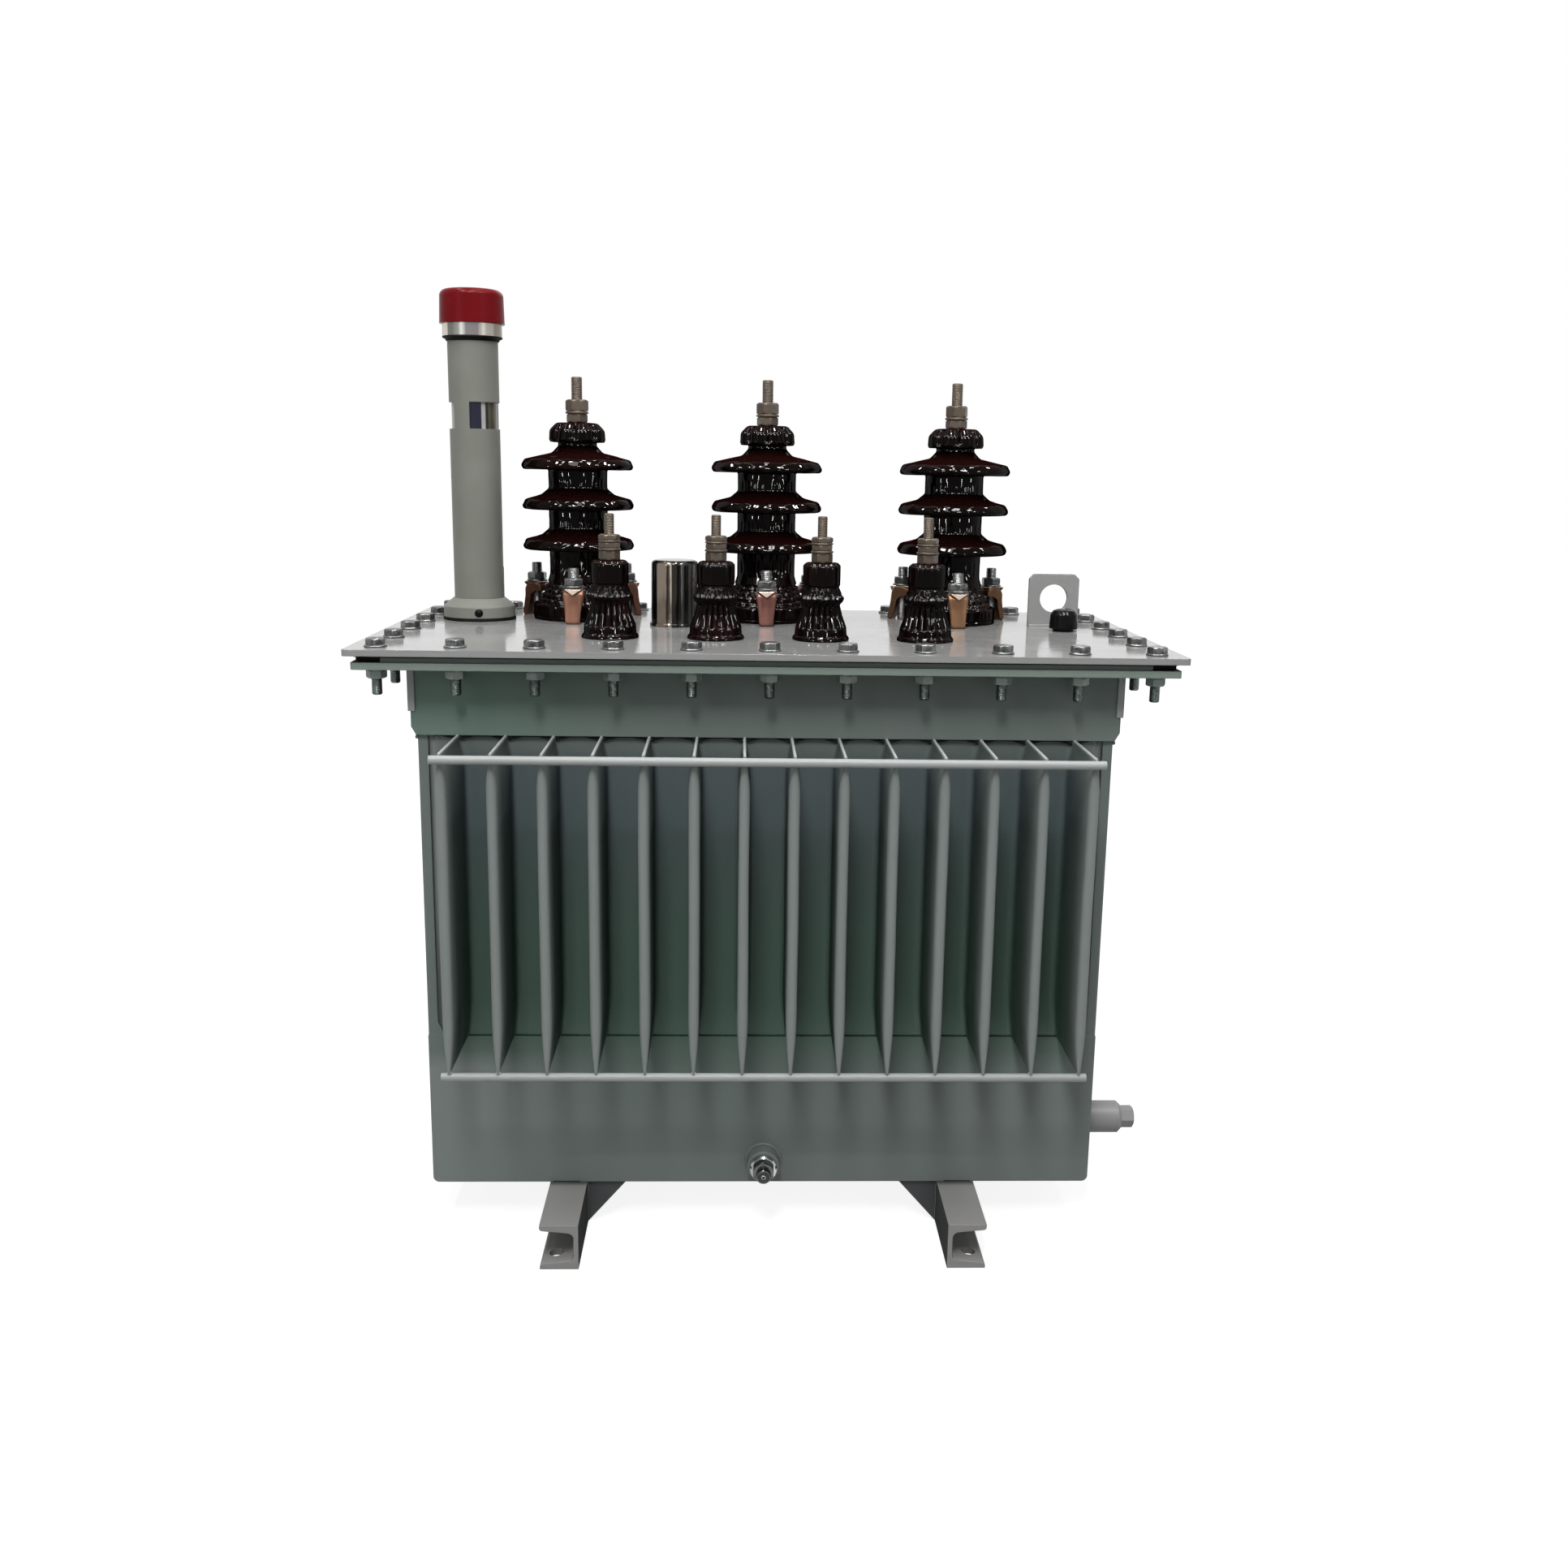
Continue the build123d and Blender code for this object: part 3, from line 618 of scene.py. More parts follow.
@dataclass(frozen=True)
class SightGlass:
    """Inside of the gauge seen through its glass, in upright bands."""

    name: str
    axis: tuple[float, float]
    bands: tuple[tuple[float, Colour], ...]

    def build(self) -> Material:
        """Build the material.

        Returns:
            The material.
        """
        surface = Surface(self.name)
        tree = surface.tree
        cloud = tree.noise(surface.place, 90.0, 2.0).ramp(0.4, 0.7, 0.0, 0.15)
        base = tree.blend(cloud, surface.bands(self.axis, self.bands, soft=1.5), (0.02, 0.02, 0.03))
        surface.set(Base_Color=base, Roughness=0.12, Specular_IOR_Level=0.3)
        surface.relief(None, (tree.noise(surface.place, 300.0, 1.0), 0.00001))
        return surface.material


@dataclass(frozen=True)
class Moulded:
    """Moulded plastic or rubber with a faint grain."""

    name: str
    colour: Colour
    worn: Colour
    roughness: float
    specular: float
    edge_radius: float = 0.0008
    grain_depth: float = 0.00003

    def build(self) -> Material:
        """Build the material.

        Returns:
            The material.
        """
        surface = Surface(self.name)
        tree = surface.tree
        patches = tree.noise(surface.place, 25.0, 4.0).ramp(0.4, 0.72)
        base = tree.blend(patches, self.colour, self.worn)
        base, rounded = surface.edged(base, self.edge_radius, self.worn)
        rough = patches.ramp(0.0, 1.0, 0.0, 0.10) + self.roughness
        surface.set(Base_Color=base, Roughness=rough, Specular_IOR_Level=self.specular)
        surface.relief(rounded, (tree.noise(surface.place, 1100.0, 2.0), self.grain_depth))
        return surface.material


# Painted highlight on the fin noses, then painted shade high and low in the gaps between the fins.
FIN_LIGHT_AND_SHADE = ((0.235, 0.262, 0.252), (0.115, 0.140, 0.150), (0.075, 0.125, 0.100))
# Painted reflections round the polished cup and the gauge ring: start angle and colour of each band.
CUP_PAINTED_REFLECTIONS = (
    (-180.0, (0.30, 0.27, 0.24)), (-66.0, (0.01, 0.01, 0.01)), (-46.0, (0.20, 0.16, 0.13)),
    (-13.0, (0.58, 0.50, 0.41)), (-6.0, (0.025, 0.022, 0.018)), (12.0, (0.11, 0.11, 0.11)),
    (21.0, (0.035, 0.035, 0.032)), (52.0, (0.34, 0.33, 0.31)), (80.0, (0.10, 0.09, 0.08)),
    (120.0, (0.45, 0.43, 0.40)), (150.0, (0.06, 0.06, 0.06)),
)
RING_PAINTED_REFLECTIONS = (
    (-180.0, (0.3, 0.3, 0.3)), (-75.0, (0.015, 0.015, 0.015)), (-68.0, (0.62, 0.58, 0.52)),
    (-45.0, (0.17, 0.17, 0.15)), (-28.0, (0.25, 0.25, 0.23)), (-14.0, (0.40, 0.40, 0.38)),
    (-4.0, (0.22, 0.20, 0.20)), (22.0, (0.36, 0.34, 0.31)), (55.0, (0.22, 0.20, 0.16)),
    (90.0, (0.15, 0.15, 0.13)), (120.0, (0.4, 0.4, 0.38)),
)
SIGHT_BANDS = (
    (-180.0, (0.35, 0.35, 0.33)), (-100.0, (0.42, 0.42, 0.41)), (-52.0, (0.30, 0.30, 0.28)),
    (-30.0, (0.008, 0.009, 0.028)), (27.0, (0.42, 0.42, 0.40)), (38.0, (0.006, 0.005, 0.006)),
    (46.0, (0.085, 0.075, 0.05)), (95.0, (0.02, 0.02, 0.02)), (130.0, (0.35, 0.35, 0.33)),
)


class Finish(Enum):
    """Every finish of the object, built when it is first used."""

    TANK = Paint(
        "tank_enamel", (0.152, 0.186, 0.170), (0.168, 0.192, 0.180), (0.22, 0.245, 0.232), fins=FIN_LIGHT_AND_SHADE,
    )
    # Collar: a lighter copy of the tank paint that paints the light under the rim, greener towards the left.
    COLLAR = Paint(
        "collar_lit_enamel", (0.172, 0.208, 0.190), (0.190, 0.215, 0.202), (0.26, 0.29, 0.275),
        left=(0.158, 0.232, 0.192),
    )
    # Lower plate: the fins' painted light and shade, and painted lighter ends and low band.
    PLATE = Paint(
        "plate_enamel", (0.150, 0.184, 0.170), (0.166, 0.190, 0.180), (0.22, 0.245, 0.232),
        fins=FIN_LIGHT_AND_SHADE, ends=(0.222, 0.252, 0.242),
    )
    COVER = Paint(
        "cover_enamel", (0.29, 0.29, 0.286), (0.32, 0.32, 0.316), (0.24, 0.24, 0.236),
        roughness=0.11, specular=0.24, wave_depth=0.0002, peel_depth=0.00001, slant_fades=False,
    )
    # Rim: a lighter copy of the tank paint that paints the light on its face, with a painted highlight on its
    # legs.
    RIM = Paint(
        "rim_lit_enamel", (0.240, 0.300, 0.262), (0.205, 0.250, 0.224), (0.34, 0.37, 0.35),
        legs=(0.43, 0.45, 0.44),
    )
    # Rods: a much lighter copy of the tank paint, painting the light on their tops.
    ROD = Paint("rod_lit_enamel", (0.40, 0.42, 0.41), (0.34, 0.36, 0.35), (0.5, 0.52, 0.51), wave_depth=0.0)
    # Nuts under the rim: a lighter copy of the tank paint that paints light into the rim's shadow, with
    # painted highlights on their edges.
    NUT = Paint(
        "nut_lit_enamel", (0.270, 0.325, 0.298), (0.215, 0.262, 0.240), (0.56, 0.60, 0.57),
        roughness=0.25, specular=0.5, wave_depth=0.0, edge_radius=0.0010,
    )
    LUG = Paint("lug_enamel", (0.30, 0.30, 0.297), (0.32, 0.32, 0.317), (0.38, 0.38, 0.38))
    # Feet: painted shade under the tank and on their sideways faces.
    FOOT = Paint(
        "foot_enamel", (0.29, 0.285, 0.275), (0.31, 0.305, 0.295), (0.40, 0.395, 0.385),
        shade=(0.050, 0.055, 0.058),
    )
    # Welds on the fins and rods: a near-white copy of the tank paint, a painted highlight.
    WELD = Paint("weld_highlight_enamel", (0.52, 0.54, 0.53), (0.42, 0.44, 0.43), (0.6, 0.62, 0.61), wave_depth=0.0)
    # Dark beads that paint the shadow lines under the collar, along the lower seam and where the feet meet
    # the tank.
    SEAM = Moulded("seam_shade", (0.014, 0.020, 0.017), (0.025, 0.033, 0.03), 0.6, 0.08)
    RUBBER = Moulded("seal_rubber", (0.008, 0.008, 0.008), (0.02, 0.02, 0.02), 0.6, 0.04)
    GAUGE = Moulded("gauge_grey", (0.210, 0.212, 0.186), (0.235, 0.237, 0.210), 0.45, 0.15)
    RED = Moulded("red_cap", (0.150, 0.005, 0.008), (0.175, 0.007, 0.010), 0.22, 0.05)
    BLACK = Moulded("black_cap", (0.004, 0.004, 0.0045), (0.007, 0.007, 0.007), 0.12, 0.07)
    PORCELAIN = Glaze("brown_glaze", (0.0028, 0.0014, 0.0013), (0.014, 0.0032, 0.0026))
    TERMINAL = Metal("tinned_metal", (0.078, 0.058, 0.040), (0.055, 0.040, 0.028), 0.5, 0.4, 2.2)
    CAST_A = Metal("cast_metal_0", (0.185, 0.090, 0.060), (0.110, 0.050, 0.031), 0.36, 0.85, 2.2)
    CAST_B = Metal("cast_metal_1", (0.140, 0.062, 0.050), (0.090, 0.038, 0.029), 0.36, 0.85, 2.2)
    CAST_C = Metal("cast_metal_2", (0.145, 0.080, 0.040), (0.100, 0.046, 0.025), 0.36, 0.85, 2.2)
    TAB = Metal("bright_tab", (0.70, 0.58, 0.50), (0.45, 0.34, 0.28), 0.2, edge_gain=1.3)
    STUD = Metal("bolt_end", (0.105, 0.125, 0.115), (0.022, 0.028, 0.025), 0.30, 0.9, 1.6, 160.0)
    ZINC = Metal("zinc_plate", (0.155, 0.158, 0.155), (0.035, 0.037, 0.036), 0.34, 0.9, 2.5, 160.0)
    # Drain plug: dark steel with edges painted twelve times brighter, a painted highlight on the hexagon's
    # edges.
    PLUG = Metal("plug_steel", (0.045, 0.05, 0.048), (0.02, 0.022, 0.021), 0.18, edge_gain=12.0)
    CHROME = Metal("chrome_ring", (0.50, 0.51, 0.51), (0.16, 0.17, 0.17), 0.12)
    CUP = BandedMetal("polished_steel", CUP_AXIS, CUP_PAINTED_REFLECTIONS)
    SILVER = BandedMetal("silver_ring", GAUGE_AXIS, RING_PAINTED_REFLECTIONS, 0.25)
    SIGHT = SightGlass("sight_bands", GAUGE_AXIS, SIGHT_BANDS)

    @cache
    def material(self) -> Material:
        """The finish's one material."""
        return self.value.build()


# Fasteners


class FastenerTree(GeometryTree):
    """A tree of round and hexagonal parts stacked along Z, in metres."""

    def bar(self, low: Size, high: Size, sides: int, rows: int, rule: Rule, eased: bool = True) -> Socket:
        """Upright closed bar whose radius follows a rule.

        Args:
            low: Level of its lower end.
            high: Level of its upper end.
            sides: Points round it.
            rows: Steps along it.
            rule: Gives the radius from the level, the angle and the distances from both ends.
            eased: Whether the steps are finer near both ends.

        Returns:
            The bar's mesh.
        """
        inputs = {"Vertices": sides, "Side Segments": rows, "Radius": 1.0, "Depth": 1.0}
        blank = self.add("GeometryNodeMeshCylinder", inputs).outputs[0]
        x, y, z = self.position()
        angle = self.math("ARCTAN2", y, x)
        share = z + 0.5
        if eased:
            share = (share * math.pi).cos() * -0.5 + 0.5
        level = share * (high - low) + low
        reach = rule(level, angle, level - low, high - level)
        return self.moved(blank, "Position", self.point(angle.cos() * reach, angle.sin() * reach, level))

    def hexagon(self, flats: Size, low: Size, high: Size, both: bool = True, turn: float = 0.0) -> Socket:
        """Hexagon nut or head with its corners turned off.

        Args:
            flats: Width across flats.
            low: Level of the lower face.
            high: Level of the upper face.
            both: Whether the lower corners are turned off too.
            turn: Turn about Z.

        Returns:
            The hexagon's mesh.
        """
        half = flats * 0.5

        def rule(level: Term, angle: Term, above: Term, below: Term) -> Term:
            """Smaller of the hexagon and the cones at its ends."""
            folded = self.math("WRAP", angle, math.radians(30), -math.radians(30))
            nearest = above.least(below) if both else below
            return (half / folded.cos()).least(nearest * 1.7 + half * 0.95)

        return self.shifted(self.bar(low, high, 36, 9, rule), turn=(0.0, 0.0, turn))

    def disc(self, width: Size, low: Size, high: Size, edge: float = 0.4 * MM) -> Socket:
        """Round disc with softened edges.

        Args:
            width: Its radius.
            low: Level of the lower face.
            high: Level of the upper face.
            edge: Width of the softened edge.

        Returns:
            The disc's mesh.
        """

        def rule(level: Term, angle: Term, above: Term, below: Term) -> Term:
            """Full radius, less close to the faces."""
            return (above.least(below) + (width - edge)).least(width)

        return self.bar(low, high, 36, 5, rule)

    def thread(self, width: Size, low: Size, high: Size, turns: int, pitch: float = 1.5 * MM) -> Socket:
        """Threaded rod with a chamfer at both ends.

        Args:
            width: Outer radius of the thread.
            low: Level of the lower end.
            high: Level of the upper end.
            turns: Number of turns between the ends, for the steps along it.
            pitch: Rise of one turn.

        Returns:
            The rod's mesh.
        """

        def rule(level: Term, angle: Term, above: Term, below: Term) -> Term:
            """Saw-tooth that climbs with the angle."""
            tooth = self.math("PINGPONG", angle * (1 / math.tau) + level / pitch, 0.5)
            reach = tooth * (0.8 * pitch) + (width - 0.4 * pitch)
            return reach.least(above.least(below) + (width - 1.2 * MM))

        return self.bar(low, high, 16, 4 * turns, rule, eased=False)

    def copies(self, finish: Finish, places: Sequence[Point], spin: float, *parts: Socket) -> Mesh:
        """Bake the joined parts at places, each turned at random by up to the spin."""
        return self.bake(self.scattered(self.joined(parts), spin), finish, places)


# Hand-over to the frame


def mm(x: float, y: float, z: float) -> Point:
    """A point given in millimetres."""
    return x * MM, y * MM, z * MM


class Bench:
    """Hands finished meshes to the frame as pieces of its one body."""

    def __init__(self, frame: dict) -> None:
        """Keep the frame's nodes."""
        self.nodes = frame["nodes"]
        self.pieces: list[bpy.types.Object] = []

    def piece(
        self, name: str, mesh: Mesh, slot: Slot, replaced: str = "",
        thickness: float = 0.0, crease: float = 35.0,
    ) -> None:
        """Make one piece from a mesh.

        Args:
            name: The piece's name.
            mesh: Its mesh, in place.
            slot: The record's material slot; not used.
            replaced: Node of the frame that it stands for.
            thickness: Sheet thickness that is added inwards.
            crease: Angle in degrees above which an edge stays sharp.
        """
        mesh.name = name
        mesh.shade_smooth()
        mesh.set_sharp_from_angle(angle=math.radians(crease))
        piece = bpy.data.objects.new(name, mesh)
        bpy.context.scene.collection.objects.link(piece)
        if thickness:
            sheet = piece.modifiers.new("sheet", "SOLIDIFY")
            sheet.thickness = thickness
            sheet.offset = -1.0
        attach(piece, BODY)
        if replaced:
            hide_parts(replaced)
        self.pieces.append(piece)
        LOG.info("made %s: %d faces", name, len(mesh.polygons))


@dataclass
class Part:
    """A sub-assembly that hands its pieces to the bench."""

    bench: Bench


# Closed forms


def closed_mesh(points: Sequence[Point], faces: Sequence[Face], finish: Finish) -> Mesh:
    """Mesh of a closed form, with its faces turned outwards.

    Args:
        points: Corners.
        faces: Corner numbers of each face.
        finish: Its finish.

    Returns:
        The mesh.
    """
    mesh = bpy.data.meshes.new("closed")
    mesh.from_pydata(points, [], faces)
    edit = bmesh.new()
    edit.from_mesh(mesh)
    bmesh.ops.remove_doubles(edit, verts=edit.verts, dist=MERGE)
    bmesh.ops.recalc_face_normals(edit, faces=edit.faces)
    edit.to_mesh(mesh)
    edit.free()
    mesh.materials.append(finish.material())
    return mesh


def band(low: int, high: int, count: int) -> list[Face]:
    """Quads between two closed rings of points, by the numbers of their first points."""
    pairs = [(here, (here + 1) % count) for here in range(count)]
    return [(low + here, low + there, high + there, high + here) for here, there in pairs]


def rounded_path(corners: Sequence[Point], step: float) -> list[tuple[float, float]]:
    """Path through corners with rounded bends, divided into short steps.

    Args:
        corners: Position and bend radius of each corner.
        step: Longest step along the path.

    Returns:
        The path's points.
    """
    spots = [Vector((u, v)) for u, v, _ in corners]
    path = [spots[0]]
    for before, here, after, (_, _, radius) in zip(spots, spots[1:], spots[2:], corners[1:]):
        back = (before - here).normalized()
        on = (after - here).normalized()
        opening = back.angle(on)
        if radius <= 0 or opening > STRAIGHT:
            path.append(here)
            continue
        room = 0.49 * min((before - here).length, (after - here).length)
        reach = min(radius / math.tan(opening / 2), room)
        start = here + back * reach
        end = here + on * reach
        parts = max(3, int((math.pi - opening) / math.radians(15)))
        for share in (number / parts for number in range(parts + 1)):
            path.append((1 - share) ** 2 * start + 2 * share * (1 - share) * here + share ** 2 * end)
    path.append(spots[-1])
    result = [path[0]]
    for first, second in zip(path, path[1:]):
        parts = max(1, math.ceil((second - first).length / step))
        result += [first.lerp(second, (number + 1) / parts) for number in range(parts)]
    return [(spot.x, spot.y) for spot in result]


def turned(place: Point, angle: float, spots: Sequence[Point]) -> list[Point]:
    """Points in millimetres, turned about a place.

    Args:
        place: Where their origin stands, in metres.
        angle: The turn about Z in degrees.
        spots: The points as they lie at angle 0.

    Returns:
        The points in metres.
    """
    turn = Matrix.Rotation(math.radians(angle), 3, "Z")
    return [tuple(turn @ (Vector(spot) * MM) + Vector(place)) for spot in spots]


def fade(value: float, low: float, high: float) -> float:
    """Smooth step from 0 at low to 1 at high."""
    share = min(1.0, max(0.0, (value - low) / (high - low)))
    return share * share * (3 - 2 * share)


@dataclass(frozen=True)
class Relief:
    """Ribs or lobes round a turned body, between two levels, in millimetres."""

    count: int
    low: float
    high: float
    depth: float
    soft: float = 2.0
    sharpness: float = 1.0
    rows: float = 0.0
    inner: float = 0.0
    turn: float = 0.0
    uneven: float = 0.0

    def height(self, angle: float, radius: float, level: float, seed: float) -> float:
        """Height of the relief at one point.

        Args:
            angle: Angle of the point round the axis.
            radius: Its distance from the axis.
            level: Its level.
            seed: Shifts the unevenness.

        Returns:
            The height, from minus the relief's depth to 0.
        """
        window = fade(level, self.low - self.soft, self.low)
        window *= 1 - fade(level, self.high, self.high + self.soft)
        if window <= 0:
            return 0.0
        if self.inner:
            window *= fade(radius, self.inner, self.inner + 4.0)
        turn, across = self.turn, 1.0
        if self.rows:
            row = (level - self.low) / self.rows
            turn += math.floor(row) * math.pi / self.count
            across = abs(math.sin(math.pi * row))
        spot = (math.cos(angle) * 2.5, math.sin(angle) * 2.5, seed + level * 0.1)
        wobble = self.uneven * noise.noise(spot)
        lobe = abs(math.cos(self.count * (angle + turn + wobble) / 2)) ** self.sharpness
        return self.depth * window * (lobe * across - 1.0)


@dataclass(frozen=True)
class TurnedBody:
    """Body turned about Z from a profile in millimetres, with reliefs and hand-made waves."""

    profile: tuple[Point, ...]
    reliefs: tuple[Relief, ...] = ()
    sides: int = 144
    step: float = 1.6
    wave: float = 0.0
    wave_scale: float = 0.06

    def mesh(self, place: Point, finish: Finish, seed: float = 0.0) -> Mesh:
        """Build the body at a place.

        Args:
            place: Middle of its foot, in metres.
            finish: Its finish.
            seed: Shifts the waves, so that no two bodies are the same.

        Returns:
            The mesh.
        """
        path = rounded_path(self.profile, self.step)
        points = []
        for number, (radius, level) in enumerate(path):
            before = Vector(path[max(0, number - 1)])
            after = Vector(path[min(len(path) - 1, number + 1)])
            along = (after - before).normalized()
            for angle in (math.tau * side / self.sides for side in range(self.sides)):
                lift = sum(relief.height(angle, radius, level, seed) for relief in self.reliefs)
                spot = (math.cos(angle) * radius, math.sin(angle) * radius, level)
                wave = noise.noise([part * self.wave_scale + seed for part in spot])
                lift += self.wave * wave * fade(radius, 4.0, 12.0) * fade(level, 0.0, 4.0)
                reach = radius + along.y * lift
                points.append((math.cos(angle) * reach, math.sin(angle) * reach, level - along.x * lift))
        last = (len(path) - 1) * self.sides
        faces = []
        for low in range(0, last, self.sides):
            faces += band(low, low + self.sides, self.sides)
        for side in range(self.sides):
            following = (side + 1) % self.sides
            faces += [(len(points), following, side), (len(points) + 1, last + side, last + following)]
        points += [(0.0, 0.0, path[0][1]), (0.0, 0.0, path[-1][1])]
        shifted = [tuple(start + part * MM for start, part in zip(place, point)) for point in points]
        return closed_mesh(shifted, faces, finish)


# Bushings


@dataclass
class HighVoltageBushings(Part):
    """Three tall bushings with sheds, their terminals, clamps and clamp bolts, in millimetres."""

    pitch: float = 203.0
    row_y: float = 90.0
    flange: float = 49.5
    body: float = 31.4
    shed: float = 60.0
    shed_levels: tuple[float, ...] = (81.6, 124.1, 165.8)
    cap: float = 30.6
    stud_circle: float = 57.0

    def shed_profile(self, level: float) -> list[Point]:
        """Profile of one drooping shed.

        Args:
            level: Level of its rim.

        Returns:
            Its corners, from below the rim to the root.
        """
        return [
            (self.body, level - 7, 2.5), (self.shed - 2, level - 7.2, 4), (self.shed, level - 2.5, 3.5),
            (self.shed - 3.5, level + 3.8, 5), (self.body + 8, level + 8.2, 8), (self.body, level + 15, 4),
        ]

    def porcelain(self) -> TurnedBody:
        """The porcelain body with its knobs, grooves and lobed cap.

        Returns:
            The body.
        """
        *lower, top = self.shed_levels
        profile = [
            (0.5, 0, 0), (self.flange - 0.6, 0, 0.8), (self.flange - 0.4, 3.2, 0.4),
            (self.flange - 1.1, 4.0, 0.4), (self.flange, 5.0, 0.6), (self.flange - 0.2, 16.4, 2.5),
            (self.flange - 5.5, 20.5, 3), (33.5, 41.0, 4), (self.body, 48, 4),
            *(corner for level in lower for corner in self.shed_profile(level)), *self.shed_profile(top)[:4],
            (27, top + 10.5, 8), (20.5, 183.5, 3), (20.8, 187, 1.5), (self.cap - 1.5, 187.2, 1.5),
            (self.cap, 190, 3), (self.cap - 0.6, 200, 7), (22.5, 207.4, 6), (12, 207.8, 2), (0.5, 207.8, 0),
        ]
        reliefs = [
            Relief(22, 19.0, 38.5, 3.0, soft=2.5, rows=5.0, sharpness=0.8, uneven=0.05),
            Relief(8, 192.0, 215.0, 4.6, soft=8.0, sharpness=0.6, inner=12.0, turn=0.4, uneven=0.03),
        ]
        for level in (41.0, *lower):
            reliefs.append(Relief(26, level + 14, level + 22, 0.7, soft=6.0, uneven=0.06))
        for level in self.shed_levels:
            edge = Relief(9, level - 1.5, level + 6.5, 1.0, soft=3.5, inner=42.0, uneven=0.35, turn=level)
            reliefs.append(edge)
        return TurnedBody(tuple(profile), tuple(reliefs), wave=0.22)

    def terminal(self, place: Point) -> Mesh:
        """Stud with two nuts and a washer.

        Args:
            place: Middle of the bushing's foot.

        Returns:
            The mesh.
        """
        tree = FastenerTree(
            "hv_terminal", flats=21.0 * MM, stud=6.0 * MM, low=207.6 * MM, top=255.0 * MM, seed=4,
        )
        given = tree.given
        return tree.copies(
            Finish.TERMINAL, [place], 0.5,
            tree.hexagon(given.flats * 0.95, given.low, 217.0 * MM),
            tree.disc(12.2 * MM, 216.9 * MM, 219.3 * MM),
            tree.hexagon(given.flats, 219.2 * MM, 231.6 * MM, turn=0.35),
            tree.thread(given.stud, given.low, given.top, 32),
        )

    def clamp_bolts(self, places: Sequence[Point]) -> Mesh:
        """Clamp studs with their washers and nuts.

        Args:
            places: Where they stand on the cover.

        Returns:
            The mesh.
        """
        tree = FastenerTree("clamp_bolt", flats=18.5 * MM, stud=5.8 * MM, top=58.0 * MM, seed=9)
        return tree.copies(
            Finish.ZINC, places, math.tau,
            tree.disc(11.2 * MM, 37.2 * MM, 39.4 * MM),
            tree.hexagon(tree.given.flats, 39.3 * MM, 47.3 * MM),
            tree.thread(tree.given.stud, -0.2 * MM, tree.given.top, 38),
        )

    def build(self) -> None:
        """Make the three bushings."""
        clamp = Clamp()
        castings = (Finish.CAST_A, Finish.CAST_B, Finish.CAST_C)
        for number, (phase, casting) in enumerate(zip("abc", castings)):
            place = mm((number - 1) * self.pitch, self.row_y, COVER_TOP)
            name = f"hv_bushing_{phase}"
            mesh = self.porcelain().mesh(place, Finish.PORCELAIN, 3.7 * number + 0.31)
            self.bench.piece(f"{name}_porcelain", mesh, Slot.PORCELAIN, name, crease=75.0)
            name = f"hv_terminal_{phase}"
            self.bench.piece(f"{name}_stack", self.terminal(place), Slot.TERMINAL, name)
            name = f"hv_clamps_{phase}"
            self.bench.piece(f"{name}_cast", clamp.mesh(place, casting), Slot.CLAMP, name, crease=40.0)
            self.bench.piece(f"hv_clamp_tabs_{phase}", clamp.tabs(place), Slot.CLAMP, crease=25.0)
            studs = [turned(place, angle, [(self.stud_circle, 0.0, 0.0)])[0] for angle in clamp.angles]
            self.bench.piece(f"hv_clamp_bolts_{phase}", self.clamp_bolts(studs), Slot.PLUG)


